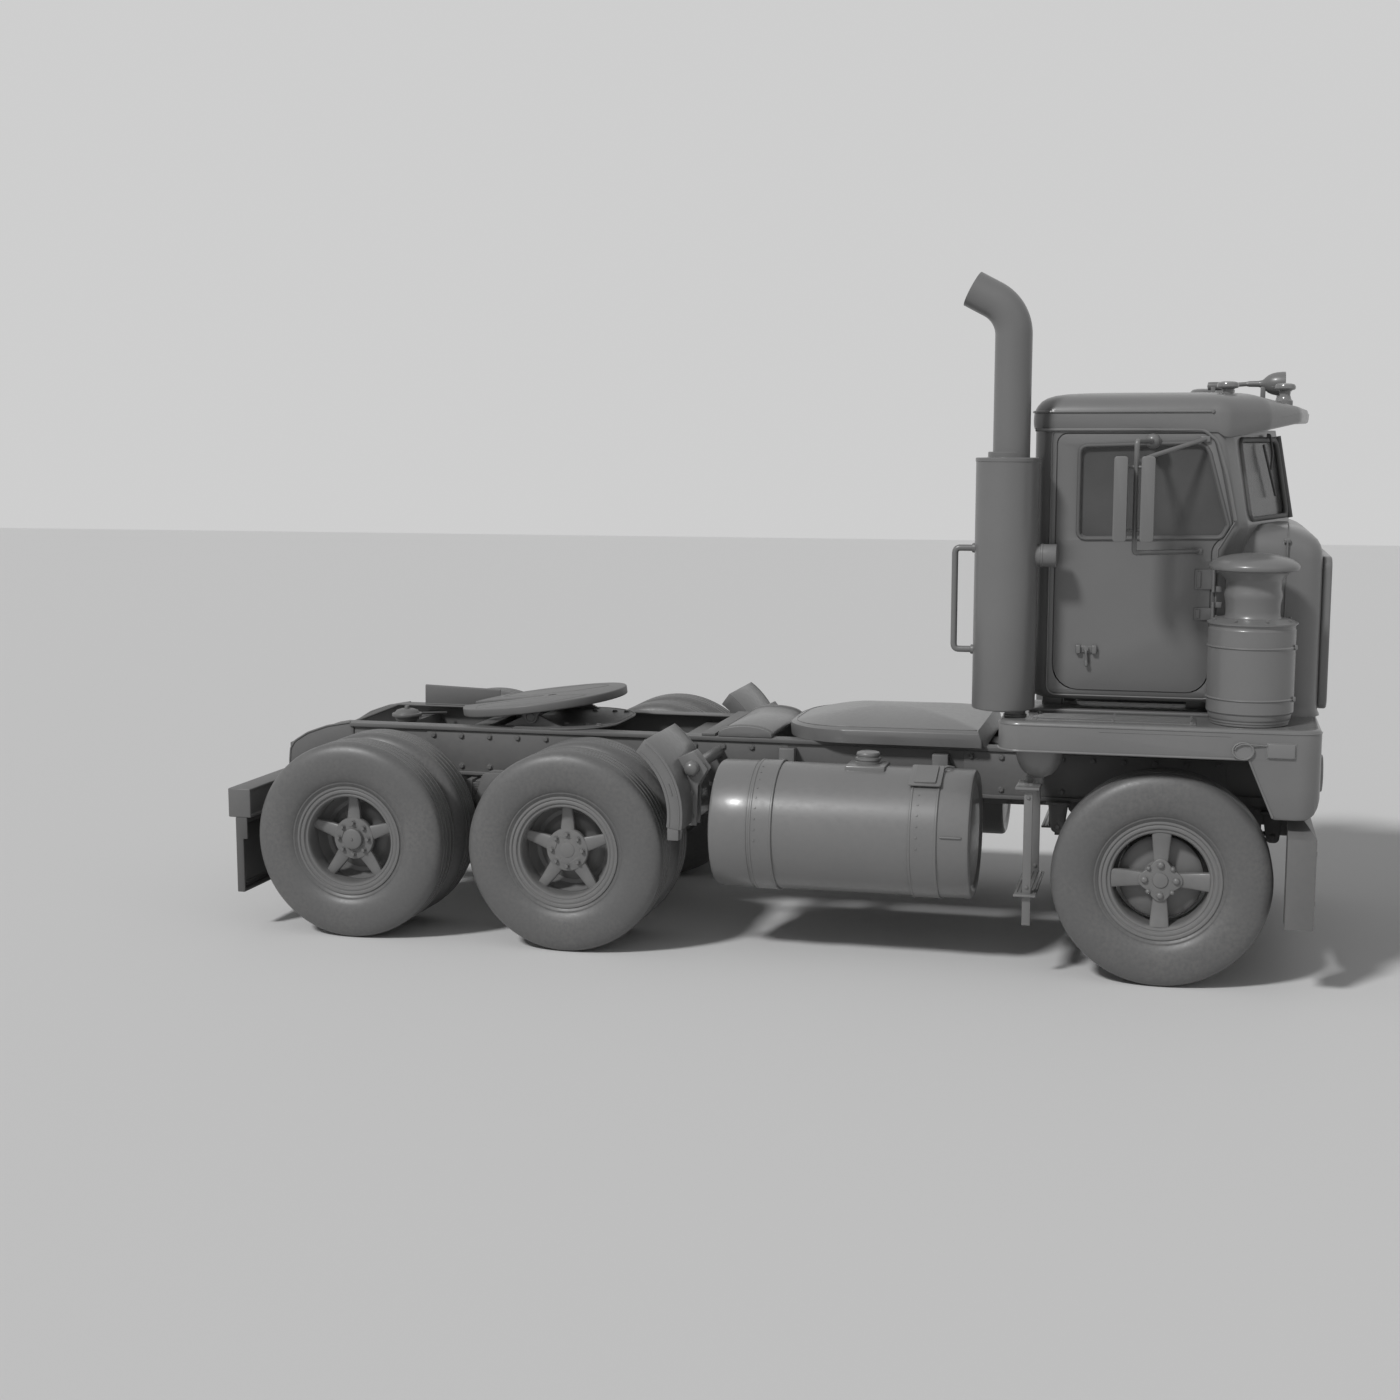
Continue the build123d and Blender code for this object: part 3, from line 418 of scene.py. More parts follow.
def tube(name, points, radius, bend=0.04, closed=False, sides=3):
    """A bent bar: straight runs with a round bend at each corner."""
    fresh()
    bpy.ops.curve.primitive_nurbs_path_add(location=(0, 0, 0))
    piece = bpy.context.object
    piece.name = name
    spots = [Vector(p) for p in points]
    line = []
    count = len(spots)
    for k, spot in enumerate(spots):
        if not closed and k in (0, count - 1):
            line.append(spot)
            continue
        before, after = spots[k - 1] - spot, spots[(k + 1) % count] - spot
        line.append(spot + before.normalized() * min(bend, before.length * 0.45))
        line.append(spot)
        line.append(spot + after.normalized() * min(bend, after.length * 0.45))
    curve = piece.data
    curve.splines.clear()
    spline = curve.splines.new("NURBS")
    spline.points.add(len(line) - 1)
    for point, spot in zip(spline.points, line):
        point.co = (*spot, 1)
    spline.order_u = 3
    spline.use_endpoint_u = not closed
    spline.use_cyclic_u = closed
    spline.resolution_u = 5
    curve.dimensions = "3D"
    curve.bevel_depth = radius
    curve.bevel_resolution = sides
    curve.use_fill_caps = True
    pick(piece)
    bpy.ops.object.convert(target="MESH")
    piece = bpy.context.object
    return put(piece, 0, 0, 0)


def dress(piece, body, slot, stands_for=(), angle=32, finish=None):
    """Gives a piece its finish and its smooth shading, and says what it rides on."""
    piece.data.materials.clear()
    piece.data.materials.append(FINISHES[finish or slot])
    pick(piece)
    bpy.ops.object.shade_smooth_by_angle(angle=radians(angle))
    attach(piece, body)
    if stands_for:
        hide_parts(*stands_for)
    return piece


def bolt(radius, tall, sides=6):
    """A bolt head on its washer, standing on Z."""
    head = turned("bolt_head", sides, [(0, tall), (radius * 0.8, tall), (radius, tall * 0.8), (radius, tall * 0.2)])
    rings = [(radius * 1.25, tall * 0.22), (radius * 1.3, tall * 0.1), (radius * 1.3, -0.002), (0, -0.002)]
    washer = turned("washer", 14, [(0, tall * 0.22)] + rings)
    return joined("bolt", [head, washer])


BOLT_SMALL = bolt(0.0085, 0.008)
BOLT_LARGE = bolt(0.014, 0.011)


# Tyres

def tyre_shape(name):
    """One tyre about Z: beads, smooth sidewalls with a moulded ring, and ribs with grooves between them."""
    half = mm(258, 98.5, 262, 100, 283, 100, 297.5, 106, 305, 112.5, 312.5, 112.5, 316, 116.5, 340, 127.5, 365, 134.5,
              395, 137.2, 425, 136.5, 450, 133, 472, 127.5, 489, 120, 501.5, 111.5, 511, 101, 515.5, 93, 517.5, 83)
    for middle in (0.068, 0.024):
        half += [(0.5195, middle + 0.008), (0.511, middle + 0.005), (0.511, middle - 0.005), (0.5195, middle - 0.008)]
    other = [(r, -z) for r, z in reversed(half)]
    inside = mm(270, -85, 300, -100, 300, 100, 270, 85)
    rings = half + other + inside + [half[0]]
    return turned(name, 96, rings)


# Wheels

RIM_RINGS = mm(289, -109.5, 288.5, -101.5, 259, -99.5, 255.8, -70, 255.8, 70, 259, 99.5, 286.5, 100.5, 289.5, 104,
               288.5, 108.5, 283, 110, 277.5, 109, 274, 103.5, 271.5, 102.5, 266.5, 105, 259, 105.5, 254.5, 104,
               250.5, 96.5, 248, 94.5, 243.5, 96.5, 236.5, 95.5, 232, 90.5, 228.5, 80, 227, 60, 228.5, 0, 228.5, -85,
               236, -100, 252, -109.5, 289, -109.5)


def spoke(name, hub_r, rim_r, hub_width, rim_width, top_hub, top_rim, thick):
    """A tapered spoke with rounded edges and a slightly crowned face, pointing along Y in the wheel's plane."""
    outline = [(-hub_width / 2, hub_r), (hub_width / 2, hub_r), (rim_width / 2, rim_r), (-rim_width / 2, rim_r)]
    piece = panel(name, outline, "z", thick, 0)
    for point in piece.data.vertices:
        share = (point.co.y - hub_r) / (rim_r - hub_r)
        point.co.z += top_hub + (top_rim - top_hub) * share - thick
    pick(piece)
    edit_all()
    bpy.ops.mesh.subdivide(number_cuts=3)
    leave_edit()
    for point in piece.data.vertices:
        share = (point.co.y - hub_r) / (rim_r - hub_r)
        half = (hub_width + (rim_width - hub_width) * share) / 2
        point.co.z += 0.006 * (1 - (point.co.x / half) ** 2) - 0.01 * sin(pi * share)
    return soften(piece, 0.007, 3, 50)


def front_wheel_shape():
    """Four broad spokes, a lobed plate with eight bolts, a round cap, stepped rim and the brake drum behind."""
    parts = [turned("rim", 96, RIM_RINGS)]
    arm = spoke("arm", 0.06, 0.232, 0.064, 0.094, 0.078, 0.088, 0.034)
    for quarter in range(4):
        parts.append(again(arm, f"arm_{quarter}", turn_about("Z", 90 * quarter)))
    discard(arm)
    outline = []
    for k in range(64):
        a = 2 * pi * k / 64
        r = 0.0925 + 0.0125 * cos(4 * a)
        outline.append((r * cos(a), r * sin(a)))
    parts.append(settle(panel("lobed_plate", outline, "z", 0.022, 0.005, 3), Matrix.Translation((0, 0, 0.066))))
    cap = mm(0, 97, 24, 96.5, 34, 94.5, 37.5, 90.5, 38.5, 86, 41.5, 86)
    parts.append(turned("cap", 40, cap + [(0.0415, 0.06), (0, 0.06)]))
    dome = mm(0, 104, 7, 103.5, 13, 100.5, 16.5, 96, 17.5, 87, 17.5, 70, 0, 70)
    for k in range(8):
        size = 1.0 if k % 2 == 0 else 0.68
        stud = turned(f"stud_{k}", 20, [(r * size, z if size == 1 else z - 0.003) for r, z in dome])
        reach = 0.0745 if k % 2 == 0 else 0.08
        a = radians(45 * k)
        parts.append(settle(stud, Matrix.Translation((reach * cos(a), reach * sin(a), 0))))
    drum = mm(0, 30, 70, 30, 85, 12, 185, 8, 200, -2, 204, -20, 204, -60, 196, -62, 192, -20, 180, -4, 80, -6,
              60, -20, 0, -20)
    parts.append(turned("brake_drum", 64, drum))
    return joined("front_wheel", parts)


def twin_wheel_shape(name, with_cap):
    """Two rims with the five-spoked disc deep in the outer one, eight bolts, the hub's end and the brake drum."""
    parts = [settle(turned("outer_rim", 96, RIM_RINGS), Matrix.Translation((0, 0, TWIN_OFFSET)))]
    parts.append(settle(turned("inner_rim", 64, RIM_RINGS), Matrix.Translation((0, 0, -TWIN_OFFSET))))
    arm = spoke("arm", 0.06, 0.232, 0.084, 0.052, 0.203, 0.203, 0.024)
    low = spoke("low_arm", 0.1, 0.232, 0.09, 0.07, -0.09, -0.09, 0.024)
    for fifth in range(5):
        parts.append(again(arm, f"arm_{fifth}", turn_about("Z", 72 * fifth)))
        parts.append(again(low, f"low_arm_{fifth}", turn_about("Z", 72 * fifth)))
    discard(arm, low)
    disc = mm(0, 204.5, 100, 204.5, 108, 202.5, 112, 197, 112, 178, 0, 178)
    parts.append(turned("hub_disc", 64, disc))
    nut = bolt(0.0115, 0.018)
    for k in range(8):
        a = radians(45 * k + 90)
        spot = Matrix.Translation((0.083 * cos(a), 0.083 * sin(a), 0.2045))
        parts.append(again(nut, f"nut_{k}", spot))
    discard(nut)
    if with_cap:
        end = mm(0, 236, 6, 236, 8, 231, 44, 230, 53, 226, 56, 218, 56, 200)
        parts.append(turned("hub_end", 48, end + [(0, 0.2)]))
    else:
        end = mm(0, 208.5, 34, 208, 38.5, 206.5, 40, 203, 0, 203)
        parts.append(turned("hub_end", 40, end))
    drum = mm(0, 120, 85, 120, 92, 100, 135, 90, 148, 80, 150, 50, 150, -120, 142, -140, 75, -140, 0, -140)
    parts.append(turned("brake_drum", 56, drum))
    dish = mm(0, 118, 140, 118, 158, 110, 175, 100, 196, 104, 215, 122, 227.5, 150, 229.5, 145, 218, 112, 196, 94,
              170, 90, 0, 100)
    parts.append(turned("wheel_dish", 64, dish))
    return joined(name, parts)


def wheels_and_tyres():
    tyre = tyre_shape("tyre_model")
    front = front_wheel_shape()
    mid = twin_wheel_shape("mid_wheels", False)
    rear = twin_wheel_shape("rear_wheels", True)
    for side, o, out in (("left", 1, OUT_LEFT), ("right", -1, OUT_RIGHT)):
        hub = at((0, o * FRONT_HUB_Y, AXLE_Z)) @ out
        body = f"wheel_front_{side}"
        piece = again(tyre, f"front_tyre_{side}", hub)
        dress(piece, body, "tyre_rubber", [f"tyre_front_{side}"], 40)
        piece = again(front, f"front_wheel_{side}", hub)
        dress(piece, body, "wheel_paint", [f"wheel_front_{side}"])
        for axle, x, model in (("mid", MID_AXLE_X, mid), ("rear", REAR_AXLE_X, rear)):
            body = f"wheels_{axle}_{side}"
            hub = at((x, o * TWIN_HUB_Y, AXLE_Z)) @ out
            pair = [again(tyre, "twin", hub @ Matrix.Translation((0, 0, k * TWIN_OFFSET))) for k in (1, -1)]
            piece = joined(f"twin_tyres_{axle}_{side}", pair)
            dress(piece, body, "tyre_rubber", [f"tyres_{axle}_{side}"], 40)
            piece = again(model, f"twin_wheels_{axle}_{side}", hub)
            dress(piece, body, "wheel_paint", [f"wheels_{axle}_{side}"])
    discard(tyre, front, mid, rear)


# Outlines

def rounded(corners, radii, steps=6):
    """A closed outline with each corner turned into an arc."""
    outline = []
    count = len(corners)
    if not isinstance(radii, (list, tuple)):
        radii = [radii] * count
    for k, (x, y) in enumerate(corners):
        spot = Vector((x, y))
        before = Vector(corners[k - 1]) - spot
        after = Vector(corners[(k + 1) % count]) - spot
        half = before.angle(after) / 2
        cut = radii[k] / tan(half)
        first = spot + before.normalized() * cut
        last = spot + after.normalized() * cut
        centre = spot + (before.normalized() + after.normalized()).normalized() * (radii[k] / sin(half))
        for step in range(steps + 1):
            share = step / steps
            ray = (first - centre).slerp(last - centre, share)
            outline.append(tuple(centre + ray.normalized() * radii[k]))
    return outline


def spread(corners, distance):
    """A convex outline with every side moved outward, or inward for a negative distance."""
    lines = []
    count = len(corners)
    middle = sum((Vector(c) for c in corners), Vector((0, 0))) / count
    for k in range(count):
        a, b = Vector(corners[k]), Vector(corners[(k + 1) % count])
        out = Vector(((b - a).y, -(b - a).x)).normalized()
        if out.dot(a - middle) < 0:
            out = -out
        lines.append((a + out * distance, (b - a).normalized()))
    moved = []
    for k in range(count):
        (a, u), (b, v) = lines[k - 1], lines[k]
        t = (b - a).cross(v) / u.cross(v)
        moved.append(tuple(a + u * t))
    return moved


def lofted(name, loops, capped=True):
    """A form pulled through a row of closed outlines with the same number of points."""
    fresh()
    fill = "NGON" if capped else "NOTHING"
    bpy.ops.mesh.primitive_circle_add(vertices=len(loops[0]), radius=1, fill_type=fill, location=(0, 0, 0))
    piece = bpy.context.object
    piece.name = name
    for point, spot in zip(piece.data.vertices, loops[0]):
        point.co = spot
    for before, after in zip(loops, loops[1:]):
        bpy.ops.object.mode_set(mode="EDIT")
        if before is loops[0]:
            bpy.ops.mesh.select_all(action="SELECT")
        bpy.ops.mesh.extrude_region_move(TRANSFORM_OT_translate={"value": (0, 0, 0)})
        leave_edit()
        chosen = [point for point in piece.data.vertices if point.select]
        for spot, spot_after in zip(before, after):
            nearest = min(chosen, key=lambda point: (point.co - Vector(spot)).length_squared)
            nearest.co = spot_after
            chosen.remove(nearest)
    edit_all()
    bpy.ops.mesh.remove_doubles(threshold=0.00005)
    bpy.ops.mesh.normals_make_consistent(inside=False)
    leave_edit()
    return piece


def carve(piece, cutter, operation="DIFFERENCE"):
    """Cuts one form with another, which is used up."""
    modified(piece, "BOOLEAN", operation=operation, solver="EXACT", object=cutter)
    discard(cutter)
    return piece


def wall(piece, thick):
    """Gives an open skin its thickness, inward."""
    return modified(piece, "SOLIDIFY", thickness=thick, offset=-1, use_even_offset=True)


def side_cut(name, outline, y0, y1):
    """A form in side view, pulled along Y, measured from the front axle line."""
    return put(panel(name, outline, "y", abs(y1 - y0), 0), 0, min(y0, y1), 0)


def bead(name, outline, y, radius, closed=True, bend=0.02):
    """A thin bar that follows a line drawn in side view."""
    return tube(name, [(x, y, z) for x, z in outline], radius, bend, closed, 2)


# Cab

CAB_LOW = mm(-660, 860, 211, 860, 318, 700, 572, 0, 318, -700, 211, -860, -660, -860)
CAB_BELT = mm(-660, 860, 300, 860, 350, 750, 572, 0, 350, -750, 300, -860, -660, -860)
CAB_ROUNDS = [0.1, 0.045, 0.045, 0.05, 0.045, 0.045, 0.1]
DOOR_LINE = mm(-546, 1400, 183, 1400, 183, 2100, 276, 2200, 220, 2460, 172, 2632, -546, 2632)
DOOR_ROUNDS = [0.12, 0.1, 0.08, 0.045, 0.1, 0.05, 0.045]
WINDOW_LINE = mm(-443, 2130, 228, 2142, 259, 2200, 149, 2592, -443, 2575)
WINDOW_ROUNDS = [0.035, 0.03, 0.02, 0.07, 0.035]
SCREEN_RISE = hypot(0.084, 0.46)


def cab_loops(inset=0.0):
    """The cab's outlines from the rounded sill up to the header."""
    low, belt = spread(CAB_LOW, -inset), spread(CAB_BELT, -inset)
    head = [(x - 0.084 if x > 0 else x, y) for x, y in belt]
    rows = [(1.345, spread(low, -0.055)), (1.3495, spread(low, -0.034)), (1.36, spread(low, -0.016))]
    rows += [(1.375, spread(low, -0.005)), (1.398, low), (1.75, low), (1.93, low)]
    for z, share in ((1.98, 0.03), (2.03, 0.13), (2.08, 0.34), (2.12, 0.58), (2.15, 0.79), (2.172, 0.93), (2.19, 1)):
        rows.append((z, [(a[0] + (b[0] - a[0]) * share, a[1] + (b[1] - a[1]) * share) for a, b in zip(low, belt)]))
    rows += [(2.65, head)]
    return [[(x, y, z) for x, y in rounded(row, CAB_ROUNDS)] for z, row in rows]


def on_screen(along, up, lift, o):
    """A point on one windshield half: outward from the middle post, up from the base and off the glass."""
    base, corner = Vector((0.572, 0, 2.19)), Vector((0.35, 0.75, 2.19))
    out = (corner - base).normalized()
    rise = Vector((-0.084, 0, 0.46)).normalized()
    face = out.cross(rise).normalized()
    face = face if face.x > 0 else -face
    spot = base + out * along + rise * up + face * lift
    return (spot.x, o * spot.y, spot.z)


SCREEN = [(0.048, 0.034), (0.732, 0.034), (0.706, SCREEN_RISE - 0.046), (0.034, SCREEN_RISE - 0.046)]


def cab_body():
    """The cab's skin with its openings, floor, mounts, hinges and drip rail, then its seals and panes."""
    skin = wall(put(lofted("cab_skin", cab_loops(), False), 0, 0, 0), 0.032)
    doors = {}
    for side, o in (("left", 1), ("right", -1)):
        leaf = again(skin, f"door_skin_{side}", Matrix())
        carve(leaf, side_cut("door_cut", rounded(DOOR_LINE, DOOR_ROUNDS), o * 0.7, o * 0.9), "INTERSECT")
        carve(leaf, side_cut("window_cut", rounded(WINDOW_LINE, WINDOW_ROUNDS), o * 0.7, o * 0.95))
        doors[side] = leaf
    for side, o in (("left", 1), ("right", -1)):
        grown = rounded(spread_door(0.006), [r + 0.006 for r in DOOR_ROUNDS])
        carve(skin, side_cut("door_hole", grown, o * 0.7, o * 0.9))
        loops = []
        for lift in (-0.15, 0.15):
            loops.append([on_screen(u, v, lift, o) for u, v in rounded(SCREEN, 0.045)])
        carve(skin, put(lofted("screen_hole", loops), 0, 0, 0))
    pane = rounded(corners_of(-450, 2130, 450, 2510), 0.06)
    carve(skin, put(panel("rear_hole", pane, "x", 0.4, 0), -0.86, 0, 0))
    floor = [[(x, y, z) for x, y in rounded(spread(CAB_LOW, -0.03), CAB_ROUNDS)] for z in (1.352, 1.394)]
    pieces = [skin, put(lofted("cab_floor", floor), 0, 0, 0)]
    for x, y in ((-0.56, 0.6), (-0.56, -0.6), (0.14, 0.6), (0.14, -0.6)):
        pieces.append(block("cab_mount", (x - 0.05, y - 0.06, 1.282), (x + 0.05, y + 0.06, 1.352), 0.008))
    for o in (1, -1):
        y = o * 0.8605
        rim_line = spread_door(0.03)
        pieces.append(bead("door_moulding", rim_line[5:] + rim_line[:3] + [(0.222, 2.1), (0.289, 2.22)], y, 0.0045,
                           False, 0.1))
        rail = mm(-655, 2652, 130, 2652, 195, 2600, 245, 2430, 289, 2225)
        pieces.append(bead("drip_rail", rail, o * 0.864, 0.0085, False, 0.06))
        for z in (1.945, 1.78):
            for step in (-1, 1):
                mid = z + step * 0.0451
                pin = turned("hinge_end", 16, [(0, mid + 0.015), (0.0075, mid + 0.015), (0.009, mid + 0.0135),
                                               (0.009, mid - 0.0135), (0.0075, mid - 0.015), (0, mid - 0.015)])
                pieces.append(put(pin, 0.2, o * 0.874, 0))
                pieces.append(block("hinge_leaf", (0.194, o * 0.86, mid - 0.014), (0.24, o * 0.872, mid + 0.014),
                                    0.003))
    dress(joined("cab_body", pieces), "chassis", "body_paint", ["cab_shell"], 35)
    seals = []
    for o in (1, -1):
        seals.append(bead("door_seal", spread_door(0.003), o * 0.851, 0.0048, True, 0.1))
        frame_line = [on_screen(u, v, 0.001, o) for u, v in rounded(SCREEN, 0.045, 3)]
        seals.append(tube("screen_seal", frame_line, 0.0125, 0.004, True, 3))
    back = [(-0.662, y, z) for y, z in rounded(corners_of(-450, 2130, 450, 2510), 0.06, 4)]
    seals.append(tube("rear_seal", back, 0.0115, 0.004, True, 3))
    post = [on_screen(0.0, v, 0.004, 1) for v in (0.02, SCREEN_RISE - 0.03)]
    seals.append(tube("middle_post", post, 0.016, 0.01, False, 3))
    dress(joined("window_seals", seals), "chassis", "flap_rubber", (), 40, "seal_rubber")
    panes = []
    for o in (1, -1):
        loops = [[on_screen(u, v, lift, o) for u, v in rounded(spread(SCREEN, 0.014), 0.055)]
                 for lift in (-0.02, -0.014)]
        panes.append(put(lofted("screen_pane", loops), 0, 0, 0))
    pane = rounded(corners_of(-462, 2118, 462, 2522), 0.07)
    panes.append(put(panel("rear_pane", pane, "x", 0.006, 0), -0.651, 0, 0))
    dress(joined("cab_panes", panes), "chassis", "glass", ["cab_glass"], 40)
    return doors


def spread_door(distance):
    """The door's outline, moved outward."""
    count = len(DOOR_LINE)
    moved = []
    for k, (x, z) in enumerate(DOOR_LINE):
        before, after = Vector(DOOR_LINE[k - 1]), Vector(DOOR_LINE[(k + 1) % count])
        spot = Vector((x, z))
        a, b = (spot - before).normalized(), (after - spot).normalized()
        out = Vector((a.y, -a.x)) + Vector((b.y, -b.x))
        moved.append(tuple(spot + out * (distance / (1 + a.dot(b)))))
    return moved


def doors_dressed(doors):
    """The two doors: hinges, the handle with its lever, window seal and pane, and the trim inside."""
    for side, o in (("left", 1), ("right", -1)):
        pieces = [soften(doors[side], 0.003, 2, 50)]
        tall = 0.03
        for z in (1.945, 1.78):
            pin = turned("hinge_pin", 16, [(0, z + tall), (0.0075, z + tall), (0.009, z + tall - 0.002),
                                           (0.009, z - tall + 0.002), (0.0075, z - tall), (0, z - tall)])
            pieces.append(put(pin, 0.2, o * 0.874, 0))
            grow = 0.018 if z > 1.9 else 0.0
            pieces.append(block("hinge_leaf", (0.112, o * 0.858, z - tall - grow),
                                (0.194, o * 0.869, z + tall + grow), 0.004, 3))
            pieces.append(block("hinge_rib", (0.12, o * 0.866, z - 0.022 - grow),
                                (0.142, o * 0.8745, z + 0.022 + grow), 0.004, 3))
        pieces.append(block("handle_plate", (-0.44, o * 0.858, 1.578), (-0.335, o * 0.868, 1.614), 0.006, 3))
        pieces.append(block("handle_lug_rear", (-0.438, o * 0.858, 1.574), (-0.414, o * 0.884, 1.618), 0.006, 3))
        pieces.append(block("handle_lug_front", (-0.362, o * 0.858, 1.574), (-0.337, o * 0.884, 1.618), 0.006, 3))
        boss = turned("lock_boss", 20, mm(0, 23, 10, 22, 14.5, 18, 15.5, 0, 0, 0))
        pieces.append(put(boss, -0.388, o * 0.86, 1.597, turn_about("X", -90 * o)))
        y = o * 0.882
        pieces.append(tube("handle_lever", [(-0.388, o * 0.872, 1.6), (-0.388, y, 1.585), (-0.386, y, 1.545)],
                           0.0065))
        knob = turned("lever_end", 16, mm(0, 0, 6, -4, 10.5, -20, 9.5, -32, 0, -38))
        pieces.append(put(knob, -0.386, y, 1.55))
        dress(joined(f"door_panel_{side}", pieces), f"door_{side}", "body_paint", [f"door_{side}"], 35)
        seal_line = rounded(WINDOW_LINE, WINDOW_ROUNDS, 3)
        seal = tube("window_seal", [(x, o * 0.8605, z) for x, z in seal_line], 0.0095, 0.004, True, 3)
        lip = tube("window_lip", [(x, o * 0.846, z) for x, z in rounded(spread(WINDOW_LINE, -0.006),
                   WINDOW_ROUNDS, 3)], 0.007, 0.003, True, 2)
        dress(joined(f"window_seal_{side}", [seal, lip]), f"door_{side}", "flap_rubber", (), 40, "seal_rubber")
        pane = side_cut("door_pane", rounded(spread(WINDOW_LINE, 0.01), [r + 0.01 for r in WINDOW_ROUNDS]), o * 0.84,
                        o * 0.8455)
        dress(pane, f"door_{side}", "glass", [f"door_glass_{side}"], 40)
        pane.name = f"door_pane_{side}"
        trim = rounded(corners_of(-500, 1460, 120, 2040), 0.04)
        card = side_cut("door_card", trim, o * 0.79, o * 0.814)
        soften(card, 0.008, 2)
        rest = block("arm_rest", (-0.35, o * 0.73, 1.72), (0.02, o * 0.795, 1.765), 0.018, 3)
        dress(joined(f"door_card_{side}", [card, rest]), f"door_{side}", "cab_plastic", (), 40)


def roof_edge(x):
    """Height of the roof's lower edge: level along the sides, low at the visor's corners, high at its tip."""
    def rise(low, high):
        share = min(max((x - low) / (high - low), 0), 1)
        return share * share * (3 - 2 * share)
    return 2.653 - 0.038 * rise(0.16, 0.24) + 0.072 * rise(0.235, 0.62)


ROOF_PLAN = mm(-668, 868, 235, 868, 430, 690, 592, 330, 645, 0, 592, -330, 430, -690, 235, -868, -668, -868)
ROOF_ROUNDS = [0.108, 0.1, 0.16, 0.3, 0.3, 0.3, 0.16, 0.1, 0.108]


def roof_row(inset, height, under=None):
    """One outline of the roof, drawn in towards its middle by the inset."""
    row = []
    for x, y in rounded(ROOF_PLAN, ROOF_ROUNDS, 7):
        x, y = x * (1 - inset / 0.655), y * (1 - inset / 0.868)
        if under is not None:
            z = roof_edge(x) + under
        else:
            z = min(2.738 + height, 2.748 + (0.645 - x) * 0.24)
        row.append((x, y, z))
    return row


def cab_top():
    """The roof with its moulding and the long visor, roof lamps, horn and vent cap."""
    edge = mm(50, 45, 48, 12, 30, 2, 8, -2, 0, 4, -4, 20, -5, 45)
    crown = mm(-3, -12, 0, 0, 5, 14, 14, 30, 30, 50, 55, 66, 90, 78, 140, 86, 210, 91, 300, 94.5, 420, 97, 560, 98)
    rows = [roof_row(inset, 0, under) for inset, under in edge] + [roof_row(inset, high) for inset, high in crown]
    pieces = [put(lofted("roof_cap", rows), 0, 0, 0)]
    line = [(x, y) for x, y, z in roof_row(-0.004, 0.0) if x < 0.17]
    turn = next(k for k in range(len(line)) if line[k][1] < 0)
    line = line[turn:] + line[:turn]
    line = [(0.17, line[0][1])] + line + [(0.17, line[-1][1])]
    pieces.append(tube("roof_moulding", [(x, y, 2.737) for x, y in line], 0.006, 0.03, False, 2))
    for o in (1, -1):
        knob = turned("moulding_end", 16, mm(0, 12, 7, 10, 10, 4, 10, 0, 0, 0))
        pieces.append(put(knob, 0.17, o * 0.868, 2.737, turn_about("X", -90 * o)))
    dome = turned("roof_vent", 40, mm(0, 34, 30, 33, 52, 28, 62, 18, 64, 8, 60, -12, 0, -12))
    pieces.append(put(dome, 0.12, 0.1, 2.832))
    dress(joined("cab_roof_panel", pieces), "chassis", "body_paint", ["cab_roof"], 30)
    lamps = []
    lamp = turned("roof_lamp", 36, mm(0, 100, 30, 98.5, 46, 93, 51.5, 83, 51.5, 73, 47, 67, 34, 64, 28, 60, 26, 40,
                                      32, 20, 40, 12, 40, -20, 0, -20))
    for x, y, z in ((0.237, 0.6, 2.785), (0.237, -0.6, 2.785), (0.517, 0.2, 2.784), (0.517, -0.2, 2.784)):
        lamps.append(again(lamp, "lamp", at((x, y, z))))
    discard(lamp)
    dress(joined("roof_lamp_set", lamps), "chassis", "lamp_lens", ["roof_lamps"], 35)
    bell = mm(0, -115, 11, -115, 14.5, -100, 15.5, -55, 20, -35, 32, -22, 44, -8, 53, 12, 58, 34, 60, 55, 60.5, 73,
              58.5, 75.5, 56, 73, 54.5, 40, 45, 10, 25, -5, 0, -8)
    horn = [put(turned("horn_bell", 40, bell), 0.447, -0.06, 2.884, FORWARD)]
    horn.append(tube("horn_pipe", mm(150, -60, 2874, 240, -60, 2878, 340, -60, 2884, each=3), 0.0115))
    drum = mm(0, 60, 14, 60, 20, 55, 21.5, 40, 21.5, -40, 20, -55, 0, -60)
    horn.append(put(turned("horn_drum", 24, drum), 0.2, -0.06, 2.874, FORWARD))
    for x in (0.17, 0.415):
        horn.append(block("horn_foot", (x - 0.012, -0.082, 2.79), (x + 0.012, -0.038, 2.87), 0.004))
    dress(joined("horn_set", horn), "chassis", "exhaust_metal", ["horn"], 35)


# Nose, decks and bumper

def nose_row(height, inset, drop):
    """One outline of the nose; the drop lowers its front edge."""
    low, high = 0.25 + min(inset, 0.02), 0.708 - inset
    corners = [(low, 0.7 - inset), (high, 0.7 - inset), (high, inset - 0.7), (low, inset - 0.7)]
    row = rounded(corners, [0.02, 0.11, 0.11, 0.02], 8)
    return [(x, y, height - drop * max(0.0, (x - 0.5) / 0.2)) for x, y in row]


